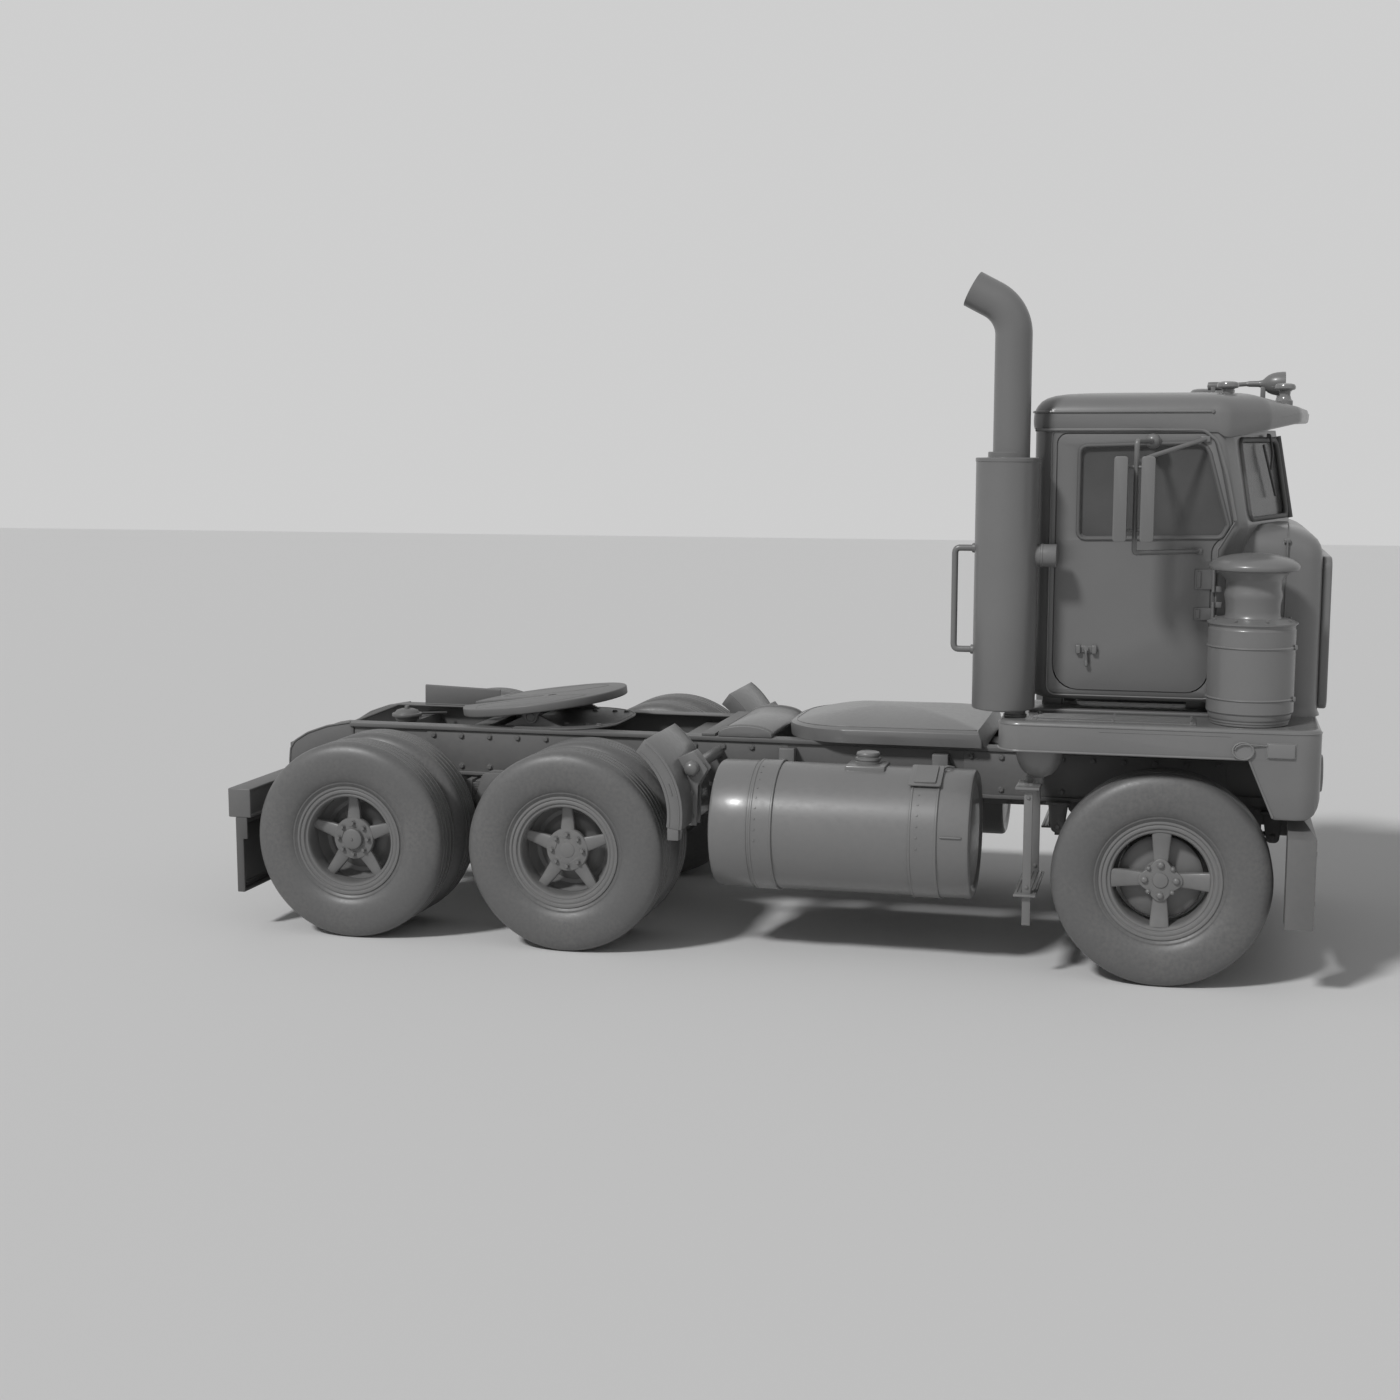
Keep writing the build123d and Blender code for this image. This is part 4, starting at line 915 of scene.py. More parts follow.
def nose():
    """The rounded nose with its seam, latches and cowl, the proud grille surround, bars and the radiator core."""
    table = mm(1278, -12, 0, 1288, -9, 0, 1302, -2, 0, 1330, 0, 0, 1700, 0, 0, 2030, 0, 0, 2075, 3, 4, 2110, 12, 8,
               2140, 27, 14, 2162, 48, 18, 2180, 76, 20, 2191, 108, 20, 2198, 150, 18, 2200, 200, 10, each=3)
    rows = [nose_row(*row) for row in table]
    shell = put(lofted("nose_form", rows), 0, 0, 0)
    carve(shell, block("nose_hollow", (0.2, -0.66, 1.2), (0.67, 0.66, 2.06), 0))
    carve(shell, block("grille_hole", (0.6, -0.54, 1.35), (0.8, 0.54, 1.99), 0))
    pieces = [shell]
    for o in (1, -1):
        y = o * 0.7005
        line = [(0.535, y, 1.29), (0.535, y, 2.03), (0.538, o * 0.691, 2.1), (0.54, o * 0.66, 2.155)]
        seam = tube("hood_seam", line + [(0.545, o * 0.6, 2.1905), (0.55, o * 0.4, 2.1975)], 0.0032, 0.03, False, 2)
        pieces.append(seam)
        pieces.append(block("latch_hook", (0.521, o * 0.678, 2.112), (0.551, o * 0.702, 2.134), 0.005, 3))
        pieces.append(tube("latch_pull", [(0.536, o * 0.706, 2.125), (0.536, o * 0.712, 2.06),
                                          (0.536, o * 0.704, 2.0)], 0.005))
        for z in (2.03, 1.985):
            stud = turned("latch_stud", 14, mm(0, 8, 5.5, 6, 7.5, 2, 7.5, 0, 0, 0))
            pieces.append(put(stud, 0.549, o * 0.7, z, turn_about("X", -90 * o)))
    dress(joined("nose_panel", pieces), "chassis", "body_paint", ["nose_shell"], 30)
    outer = rounded(corners_of(-590, 1300, 590, 2045), 0.06, 8)
    inner = rounded(corners_of(-545, 1345, 545, 2000), 0.03, 8)
    frame_front = put(panel("surround", outer, "x", 0.046, 0), 0.708, 0, 0)
    carve(frame_front, put(panel("surround_hole", inner, "x", 0.1, 0), 0.69, 0, 0))
    pieces = [soften(frame_front, 0.012, 4, 40)]
    for k in range(13):
        y = -0.545 + (k + 1) * 1.09 / 14
        bar = block("grille_bar", (0.716, y - 0.007, 1.34), (0.739, y + 0.007, 2.005), 0)
        pieces.append(soften(bar, 0.0055, 3, 60))
    for z in (1.5, 1.672, 1.845):
        pieces.append(block("grille_tie", (0.712, -0.546, z - 0.006), (0.72, 0.546, z + 0.006), 0.002))
    dress(joined("grille_front", pieces), "chassis", "body_paint", ["radiator_grille"], 35)
    core = [block("core_block", (0.602, -0.56, 1.28), (0.652, 0.56, 1.98), 0.006)]
    for o in (1, -1):
        core.append(block("core_side", (0.598, o * 0.548 - 0.012, 1.28), (0.655, o * 0.548 + 0.012, 1.98), 0.005))
    dress(joined("radiator_fins", core), "chassis", "radiator_black", ["radiator_core"])


DECK_PLAN = mm(-780, 400, -780, 1200, 708, 1200, 708, 400)


def deck_row(height, inset):
    corners = [(-0.78 + inset, 0.4), (-0.78 + inset, 1.2 - inset), (0.708 - inset, 1.2 - inset), (0.708 - inset, 0.4)]
    return [(x, y, height) for x, y in rounded(corners, [0.01, 0.11 - inset * 0.5, 0.11 - inset * 0.5, 0.01], 9)]


def decks():
    """The flat fender beside the cab with its hanging front corner, edge beads, tread plate, sill and lamps."""
    heights = mm(850, 26, 862, 8, 880, 0, 1000, 0, 1130, 0, 1257, 0, 1268, 3, 1275.5, 9, 1279.5, 18, 1280, 30)
    slab = put(lofted("deck_form", [deck_row(z, inset) for z, inset in heights]), 0, 0, 0)
    hollow = put(lofted("deck_hollow", [deck_row(z, 0.014) for z in (0.8, 1.264)]), 0, 0, 0)
    carve(slab, hollow)
    cut = mm(-800, 800, 530, 800, 502, 860, 385, 1134, -800, 1134)
    carve(slab, side_cut("deck_arch", cut, 0.3, 1.3))
    corner = mm(740, 830, 740, 990, 708.5, 990, 706, 950, 697, 915, 680, 885, 655, 865)
    carve(slab, side_cut("deck_corner", corner + mm(625, 851, 600, 848, 600, 830), 0.3, 1.3))
    carve(slab, block("deck_back", (0.3, 0.38, 0.8), (0.69, 0.45, 1.134), 0))
    pieces = [soften(slab, 0.003, 2, 50)]
    edge = [(x, y) for x, y in rounded(DECK_PLAN, [0.01, 0.11, 0.11, 0.01], 6) if y > 0.41]
    for z, r in ((1.2625, 0.0035), (1.1385, 0.006)):
        line = [(x, y, z) for x, y in edge if z > 1.2 or x < 0.38]
        if z < 1.2:
            line += [(0.38, 1.2, z)]
        pieces.append(tube("deck_bead", line, r, 0.03, False, 2))
    pieces.append(tube("arch_bead", [(0.383, 1.199, 1.136), (0.498, 1.199, 0.868)], 0.006, 0.01, False, 2))
    pieces.append(tube("deck_line", [(-0.3, 1.2, 1.243), (0.3, 1.2, 1.243)], 0.0022, 0.01, False, 2))
    for x in (-0.7, 0.52):
        pieces.append(block("deck_bracket", (x - 0.02, 0.4, 1.03), (x + 0.02, 0.43, 1.276), 0.004))
    pieces.append(block("tread_plate", (-0.62, 0.92, 1.279), (0.14, 1.14, 1.2855), 0.003))
    for y in (0.96, 1.0, 1.04, 1.08):
        pieces.append(block("tread_rib", (-0.6, y - 0.008, 1.285), (0.12, y + 0.008, 1.2895), 0.003))
    for x in (-0.6, -0.24, 0.12):
        for y in (0.93, 1.13):
            pieces.append(again_at(BOLT_SMALL, x, y, 1.2855))
    pieces.append(block("sill_step", (-0.66, 0.58, 1.279), (0.2, 0.845, 1.297), 0.006, 3))
    for side, piece in left_and_right("deck", pieces):
        dress(piece, "chassis", "body_paint", [f"fender_deck_{side}"], 30)
    marker = turned("marker", 40, mm(0, 8, 30, 7, 36, 8, 39, 14, 43.5, 17, 48, 13, 49.5, 4, 49.5, -4, 0, -4))
    settle(marker, Matrix.Diagonal((1.06, 0.9, 1, 1)))
    lamps = [put(marker, 0.355, 1.2, 1.178, OUT_LEFT)]
    lamps.append(tube("marker_loop", mm(326, 1200, 1180, 318, 1214, 1185, 326, 1216, 1200, 352, 1215.5, 1212,
                                        390, 1214.5, 1210, 462, 1203, 1205, each=3), 0.0035))
    lens = block("side_lamp", (0.464, 1.196, 1.15), (0.586, 1.214, 1.217), 0.005, 3)
    lamps += [lens, block("lamp_base", (0.458, 1.196, 1.146), (0.592, 1.204, 1.221), 0.003)]
    head = mm(0, 17, 30, 16.5, 55, 14.5, 70, 10.5, 74.5, 6, 76, 13, 81.5, 18, 87, 16.5, 90, 10, 90, -6, 0, -6)
    lamps.append(put(turned("head_lamp", 48, head), 0.709, 0.9, 1.04, FORWARD))
    dress(both_sides("lamp_set", lamps), "chassis", "lamp_lens", ["running_lamps"], 35)


def bumper():
    """The deep bumper: a plate with returned top, closed ends with broad chamfers, bolts and its two arms."""
    front = mm(570, 345, 695, 345, 700, 350, 700, 771, 697, 779, 642, 841, 636, 843, 570, 843)
    beam = put(panel("bumper_beam", front, "y", 2.4, 0), 0, -1.2, 0)
    inner = mm(500, 300, 690, 300, 690, 770, 634, 833, 500, 833)
    carve(beam, put(panel("bumper_hollow", inner, "y", 2.1, 0), 0, -1.05, 0))
    for o in (1, -1):
        slope = [(o * 1.21, 0.7665), (o * 1.04, 0.842), (o * 1.04, 0.9), (o * 1.21, 0.9)]
        carve(beam, put(panel("bumper_slope", slope, "x", 0.3, 0), 0.5, 0, 0))
    pieces = [soften(beam, 0.007, 3, 25)]
    for o in (1, -1):
        arm = mm(330, 690, 692, 690, 692, 765, 638, 829, 330, 829)
        pieces.append(put(panel("bumper_arm", arm, "y", 0.016, 0.004), 0, min(o * 0.43, o * 0.446), 0))
        for y in (0.38, 0.5, 1.05):
            for z in (0.44, 0.68):
                pieces.append(again_at(BOLT_LARGE, 0.7, o * y, z, FORWARD))
        for x in (0.37, 0.45, 0.53):
            pieces.append(again_at(BOLT_LARGE, x, o * 0.446, 0.76, OUT_LEFT if o > 0 else OUT_RIGHT))
    dress(joined("bumper_set", pieces), "chassis", "chassis_paint", ["bumper"], 35)


# Air cleaners and exhaust

def air_cleaners():
    """The canister with its bands, clamp lugs and lid, the waisted neck and the mushroom cap."""
    r = 200
    rings = mm(0, 1281, 176, 1281, 179.5, 1284, 179.5, 1294, 184, 1297, 184, 1306, 188.5, 1310, 190, 1316, 192, 1334,
               r, 1343, r, 1400, r + 3, 1402, r + 5.5, 1406, r + 3, 1410, r, 1412, r, 1642, r + 3, 1644,
               r + 5.5, 1648, r + 3, 1652, r, 1654, r, 1728, 197, 1732, 196.5, 1742, 200, 1747, 200, 1752, 207, 1754,
               207, 1760, 199, 1763, 186, 1770, 176, 1772, 170, 1777, 132, 1781, 126, 1790, 124.5, 1810, 125.5, 1845,
               131, 1870, 133.5, 1885, 131, 1900, 126.5, 1915, 126.5, 1950, 130, 1958, 158, 1990, 176, 2002,
               196, 2003, 203.5, 2006, 206.5, 2013, 206.5, 2021, 203, 2029, 193, 2040, 172, 2053, 145, 2063.5,
               105, 2073, 60, 2079, 0, 2081)
    pieces = [turned("cleaner_body", 80, rings)]
    lug = block("clamp_lug", (0.196 - SHIFT, -0.008, -0.012), (0.213 - SHIFT, 0.008, 0.012), 0.004)
    stud = bolt(0.006, 0.006)
    for z in (1.407, 1.649):
        pieces.append(again(lug, "lug", turn_about("Z", -18) @ Matrix.Translation((0, 0, z))))
    for k in range(8):
        spot = turn_about("Z", 45 * k + 20) @ Matrix.Translation((0.182, 0, 1.773))
        pieces.append(again(stud, "lid_stud", spot))
    discard(lug, stud)
    model = joined("cleaner_model", pieces)
    for side, o in (("left", 1), ("right", -1)):
        piece = again(model, f"air_cleaner_set_{side}", at((0.381, o * 0.985, 0)))
        dress(piece, "chassis", "body_paint", [f"air_cleaner_{side}"], 35)
    discard(model)


def exhaust():
    """The upright muffler with its rims, inlet collar, foot and grab handle, and the curved stack."""
    r = 151
    rings = mm(0, 1300, 60, 1300, 62, 1304, 62, 1313, 136, 1313, 146, 1316, r, 1324, r, 1900, r, 2500, 153.5, 2503,
               153.5, 2517, 151, 2520, 100, 2521, 95.5, 2524, 95.5, 2545, 93, 2548, 0, 2548)
    pieces = [put(turned("muffler_body", 72, rings), -0.77, STACK_Y, 0)]
    inlet = mm(0, 0, 103, 0, 92, 28, 77, 48, 64, 60, 56, 70, 52.5, 84, 52.5, 94, 56.5, 97, 56.5, 105, 54, 108,
               54, 166, 53, 169, 47.5, 169, 46.5, 166, 46.5, 110, 0, 110)
    pieces.append(put(turned("muffler_inlet", 48, inlet), -0.7, STACK_Y, 2.056, FORWARD))
    foot = mm(0, 1280, 56, 1280, 56, 1287, 50, 1290, 50, 1320, 0, 1320)
    pieces.append(put(turned("muffler_foot", 32, foot), -0.712, STACK_Y, 0))
    handle = mm(-905, -1000, 1597, -1015, -1000, 1597, -1015, -1000, 2088, -905, -1000, 2088, each=3)
    pieces.append(tube("grab_handle", handle, 0.0155, 0.055, False, 4))
    for z in (1.597, 2.088):
        cup = turned("handle_cup", 24, mm(0, 12, 19, 12, 23, 8, 24, -8, 0, -8))
        pieces.append(put(cup, -0.922, STACK_Y, z, turn_about("Y", -90)))
    dress(joined("muffler_set", pieces), "chassis", "exhaust_metal", ["muffler"], 35)
    bend, tail, turn = 0.19, 0.11, radians(62)
    path = [(0, 2.519, 0), (0, 2.9, 0)]
    path += [(bend * (cos(turn * k / 16) - 1), 3.095 + bend * sin(turn * k / 16), turn * k / 16)
             for k in range(17)]
    path.append((path[-1][0] - tail * sin(turn), path[-1][1] + tail * cos(turn), turn))
    loops = []
    for x, z, lean in path:
        around = [radians(360 * k / 56) for k in range(56)]
        loops.append([(x + 0.088 * cos(a) * cos(lean), 0.088 * sin(a),
                       z + 0.088 * cos(a) * sin(lean)) for a in around])
    pipe = wall(lofted("stack_pipe", loops, False), 0.004)
    put(pipe, -0.755, STACK_Y, 0)
    dress(pipe, "chassis", "exhaust_metal", ["exhaust_stack"], 35)


def mirrors():
    """The two slim mirror heads on their bent frame, with the strut, the ball lamp and the door brackets."""
    pieces = []
    pieces.append(tube("mirror_frame", mm(-85, 872, 2598, -165, 1180, 2598, -165, 1180, 2084, 20, 990, 2081,
                                          120, 868, 2079, each=3), 0.0125, 0.035, False, 4))
    pieces.append(tube("mirror_strut", mm(-165, 1180, 2500, -100, 1105, 2530, 140, 868, 2608, each=3), 0.0105))
    ball = mm(0, 36, 14, 34, 26, 27, 34, 14, 36, 0, 34, -14, 26, -27, 14, -34, 0, -36)
    for x0, x1 in ((-0.262, -0.2), (-0.14, -0.078)):
        outline = rounded([(x0, 2.14), (x1, 2.14), (x1, 2.53), (x0, 2.53)], 0.014, 4)
        back = put(panel("mirror_back", outline, "y", 0.012, 0), 0, 1.278, 0)
        pieces.append(soften(back, 0.004, 2, 40))
        body = [[(x, y, z) for x, z in inset_box(outline, inset)]
                for y, inset in ((1.186, 0.016), (1.192, 0.007), (1.204, 0.001), (1.282, 0.0))]
        pieces.append(put(lofted("mirror_case", body), 0, 0, 0))
        mid = (x0 + x1) / 2
        for z in (2.19, 2.48):
            pieces.append(tube("head_arm", [(mid, 1.195, z), (mid, 1.184, z), (-0.165, 1.18, z)], 0.0075, 0.01))
    pieces.append(put(turned("ball_lamp", 28, ball), -0.1, 0.92, 2.598))
    for x, z in ((0.12, 2.079), (0.14, 2.608), (-0.085, 2.598)):
        pieces.append(block("mirror_foot", (x - 0.022, 0.861, z - 0.014), (x + 0.022, 0.874, z + 0.014), 0.004))
    for side, piece in left_and_right("mirror_set", pieces):
        dress(piece, f"door_{side}", "mirror_case", [f"mirror_{side}"], 35)


def inset_box(outline, amount):
    """A rounded rectangle drawn in by about the same amount all round."""
    us, vs = [u for u, v in outline], [v for u, v in outline]
    cu, cv = (min(us) + max(us)) / 2, (min(vs) + max(vs)) / 2
    ku, kv = 1 - amount / (max(us) - cu), 1 - amount / (max(vs) - cv)
    return [(cu + (u - cu) * ku, cv + (v - cv) * kv) for u, v in outline]


def wipers():
    """A wiper hanging from the header over each windshield half: pivot, arm and blade."""
    pieces = []
    for o in (1, -1):
        pivot = on_screen(0.24, SCREEN_RISE - 0.03, 0.012, o)
        knob = turned("wiper_pivot", 18, mm(0, 20, 9, 18, 12, 12, 12, 0, 0, 0))
        pieces.append(put(knob, *pivot, FORWARD))
        arm = [on_screen(0.24, SCREEN_RISE - 0.03, 0.028, o), on_screen(0.262, SCREEN_RISE - 0.12, 0.034, o)]
        arm.append(on_screen(0.29, SCREEN_RISE - 0.2, 0.02, o))
        pieces.append(tube("wiper_arm", arm, 0.006, 0.03))
        blade = [on_screen(0.33, SCREEN_RISE - 0.075, 0.013, o), on_screen(0.25, SCREEN_RISE - 0.33, 0.013, o)]
        pieces.append(tube("wiper_blade", blade, 0.0065, 0.01))
    dress(joined("wiper_set", pieces), "chassis", "cab_plastic", (), 40)


# Fuel tanks, steps and frame

def fuel_tanks():
    """Each tank: rolled ends, a dished head, seam rings, filler with its ridged cap and lip, and a side handle."""
    r = 324.5
    rings = mm(0, -2206, 200, -2206.5, 262, -2204, 270, -2207, 286, -2213, 306, -2214.5, 318, -2209, r, -2196,
               r, -2022, r + 2.2, -2020.5, r + 2.2, -2016.5, r, -2015, r, -1900, r, -1500, r, -1200, r, -926,
               319, -913, 307, -906, 293, -906.5, 279, -912, 271.5, -918.5, 262, -921, 250, -916.5, 200, -911.5,
               100, -908, 0, -907)
    shell = turned("tank_shell", 96, rings[::-1])
    pieces = [put(shell, 0, 0.83, 0.65, FORWARD)]
    pieces.append(block("filler_block", (-1.56, 0.735, 0.93), (-1.356, 0.925, 0.985), 0.009, 3))
    cap = mm(0, 1044, 45, 1043.5, 56, 1040, 60, 1034, 60.5, 1026, 56, 1022, 56, 1017, 64, 1013.5, 65.5, 1008,
             65.5, 1003, 61, 999.5, 61, 994, 66, 991, 66, 980, 0, 980)
    pieces.append(put(turned("filler_cap", 40, cap), -1.458, 0.81, 0))
    lip = [[(x, side + y * out, high - abs(y) * fall) for x, y in half_moon(size)]
           for size, side, out, high, fall in ((0.058, 0.92, 0.5, 0.958, 0.35), (0.052, 0.932, 0.55, 0.94, 0.55),
                                               (0.03, 0.93, 0.25, 0.915, 0.6))]
    pieces.append(put(lofted("filler_lip", lip), -1.458, 0.0, 0.0))
    grip = mm(-1050, 1150, 690, -1047, 1158, 690, -948, 1158, 690, -945, 1150, 690, each=3)
    pieces.append(tube("tank_grip", grip, 0.0045, 0.012))
    for side, piece in left_and_right("fuel_tank_set", pieces):
        dress(piece, "chassis", "tank_metal", [f"fuel_tank_{side}"], 30)


def half_moon(size):
    """A small rounded lip in plan, from one side round to the other."""
    row = [(size * cos(pi * k / 10), size * sin(pi * k / 10)) for k in range(11)]
    return row + [(-size * 0.6, -0.004), (0, -0.006), (size * 0.6, -0.004)]


def tank_straps():
    """The two bands round each tank with raised edges and rivets, the step pad, buckle and frame brackets."""
    pieces = []
    for x, half in ((-1.945, 0.058), (-1.135, 0.07)):
        band = [(0.3262, -half), (0.331, -half), (0.334, 0.003 - half), (0.334, 0.0095 - half),
                (0.331, 0.0125 - half)]
        band += [(0.331, half - 0.0125), (0.334, half - 0.0095), (0.334, half - 0.003), (0.331, half), (0.3262, half)]
        band.append(band[0])
        pieces.append(put(turned("band", 96, band), x, 0.83, 0.65, FORWARD))
        pieces.append(block("tank_bracket", (x - 0.042, 0.431, 0.52), (x + 0.042, 0.505, 0.99), 0.006))
        pieces.append(block("bracket_foot", (x - 0.04, 0.431, 0.48), (x + 0.04, 0.62, 0.535), 0.006))
        stud = bolt(0.0055, 0.0035)
        for k in range(9):
            angle = turn_about("X", -18 - 9.5 * k)
            spot = at((x, 0.83, 0.65)) @ angle @ Matrix.Translation((-0.03, 0, 0.3305))
            pieces.append(again(stud, "rivet", spot))
        discard(stud)
    pad = [[(x, y, z) for x, y in rounded(corners_of(-80, -90, 80, 90), 0.01, 3)] for z in (0, 0.009)]
    base = soften(lofted("pad_base", pad), 0.002, 2)
    raised = [[(x * k, y * k, z) for x, y in rounded(corners_of(-55, -75, 55, 75), 0.007, 3)]
              for z, k in ((0.006, 1), (0.017, 1), (0.02, 0.97))]
    step_pad = joined("step_pad", [base, lofted("pad_top", raised)])
    tilt = at((-1.14, 0.83, 0.65)) @ turn_about("X", -24) @ Matrix.Translation((0, 0, 0.333))
    pieces.append(settle(step_pad, tilt))
    pieces.append(tube("buckle", mm(-1075, 860, 978, -1050, 860, 992, -1020, 845, 984, each=3), 0.006))
    dress(both_sides("tank_strap_set", pieces), "chassis", "body_paint", ["tank_straps"], 35)


def steps():
    """The hanging step below each deck: two straps, the tread with its ribs, the top plate and the cone above."""
    pieces = []
    cone = mm(0, 953, 24, 953, 26, 956, 26, 982, 36, 989, 62, 1000, 85, 1023, 102, 1056, 112, 1090, 117, 1125,
              119, 1160, 119, 1262, 0, 1262)
    pieces.append(put(turned("cone", 56, cone), -0.59, 1.01, 0))
    pieces.append(block("top_plate", (-0.69, 0.94, 0.94), (-0.575, 1.15, 0.953), 0.003))
    pieces.append(block("top_plate_low", (-0.672, 0.6, 0.926), (-0.59, 1.13, 0.941), 0.003))
    for y0, y1, low in ((1.112, 1.124, 0.27), (0.61, 0.622, 0.415)):
        pieces.append(block("strap", (-0.649, y0, low), (-0.608, y1, 0.942), 0.003))
        pieces.append(again_at(BOLT_SMALL, -0.628, y1, 0.9, OUT_LEFT))
        pieces.append(again_at(BOLT_SMALL, -0.628, y1, 0.46, OUT_LEFT))
    pieces.append(block("tread", (-0.69, 0.59, 0.415), (-0.582, 1.15, 0.427), 0.004))
    for x in (-0.676, -0.658, -0.636, -0.614, -0.596):
        pieces.append(block("tread_rib", (x - 0.003, 0.6, 0.426), (x + 0.003, 1.105, 0.431), 0.002))
    dress(both_sides("step_set", pieces), "chassis", "body_paint", ["steps"], 35)


def rail():
    """One channel of the frame with rounded flanges, its tapered tail, plate joints and bolt heads."""
    side = mm(562, 762, 562, 1030, -4500, 1030, -4560, 1018.5, -4820, 907.5, -4835, 900, -4835, 762)
    form = put(panel("channel", side, "y", 0.085, 0), 0, 0.345, 0)
    groove = mm(600, 771, 600, 1021, -4500, 1021, -4860, 880, -4860, 771)
    carve(form, put(panel("channel_groove", groove, "y", 0.08, 0), 0, 0.34, 0))
    pieces = [soften(form, 0.0035, 2, 35)]
    for z0, z1 in ((1.008, 1.03), (0.762, 0.782)):
        pieces.append(block("rail_flange", (-4.46, 0.425, z0), (0.562, 0.4475, z1), 0.003))
    tail = mm(-4440, 1000, -4460, 1029.5, -4600, 1004, -4720, 962, -4800, 912, -4828, 870, -4835, 800, -4835, 766,
              -4440, 766)
    pieces.append(put(panel("tail_plate", tail, "y", 0.009, 0.003), 0, 0.4295, 0))
    pieces.append(tube("tail_lip", [(x, 0.436, z) for x, z in tail[1:8]], 0.0065, 0.03, False, 3))
    for x0, x1 in ((-1.02, 0.3), (-2.5, -1.95), (-4.0, -3.1)):
        pieces.append(block("rail_plate", (x0, 0.4295, 0.782), (x1, 0.4345, 1.005), 0.003))
        count = max(3, round((x1 - x0) / 0.14))
        for k in range(count):
            x = x0 + 0.04 + (x1 - x0 - 0.08) * k / (count - 1)
            for z in (0.81, 0.978):
                pieces.append(again_at(BOLT_LARGE, x, 0.4345, z, OUT_LEFT))
    return pieces


def ladder_frame():
    """Both rails and the hollow cross members with their bolts."""
    dress(both_sides("frame_rail_set", rail()), "chassis", "chassis_paint", ["frame_rails"], 35)
    pieces = []
    for x in (-4.3, -3.83, -3.24, -2.56, -1.85):
        form = block("member", (x - 0.045, -0.421, 0.811), (x + 0.045, 0.421, 0.981), 0)
        carve(form, block("member_hollow", (x - 0.06, -0.409, 0.821), (x + 0.035, 0.409, 0.971), 0))
        pieces.append(soften(form, 0.004, 2, 35))
        for o in (1, -1):
            for z in (0.85, 0.94):
                pieces.append(again_at(BOLT_LARGE, x - 0.034, o * 0.35, z, turn_about("Y", -90)))
    dress(joined("cross_member_set", pieces), "chassis", "chassis_paint", ["crossmembers"], 35)


def rear_end():
    """The boxed crossbar behind the tyres and the two mudflaps with their strips."""
    bar = block("crossbar_form", (-4.85, -1.15, 0.606), (-4.721, 1.15, 0.762), 0)
    carve(bar, block("crossbar_hollow", (-4.735, -1.138, 0.618), (-4.7, 1.138, 0.75), 0))
    pieces = [soften(bar, 0.006, 3, 35)]
    for o in (1, -1):
        for y in (0.36, 0.395, 0.66, 1.09):
            pieces.append(again_at(BOLT_LARGE, -4.85, o * y, 0.69, turn_about("Y", -90)))
    dress(joined("rear_crossbar_set", pieces), "chassis", "chassis_paint", ["rear_crossbar"], 35)
    pieces = []
    for o in (1, -1):
        y0, y1 = sorted((o * 0.6, o * 1.15))
        tray = block("flap", (-4.81, y0, 0.2), (-4.744, y1, 0.606), 0)
        carve(tray, block("flap_hollow", (-4.798, y0 + 0.012, 0.212), (-4.7, y1 - 0.012, 0.62), 0))
        carve(tray, block("flap_step", (-4.768, y0 - 0.01, 0.18), (-4.7, y1 + 0.01, 0.49), 0))
        pieces.append(soften(tray, 0.003, 2, 35))
        pieces.append(block("flap_strip", (-4.7985, y0 + 0.014, 0.56), (-4.783, y1 - 0.014, 0.6), 0.002))
        for k in range(5):
            y = y0 + 0.05 + (y1 - y0 - 0.1) * k / 4
            pieces.append(again_at(BOLT_SMALL, -4.783, y, 0.58, FORWARD))
        for z in (0.22, 0.24):
            pieces.append(block("flap_rib", (-4.7985, y0 + 0.03, z), (-4.793, y1 - 0.03, z + 0.006), 0.0015))
    dress(joined("mudflap_set", pieces), "chassis", "flap_rubber", ["mudflaps"], 35)


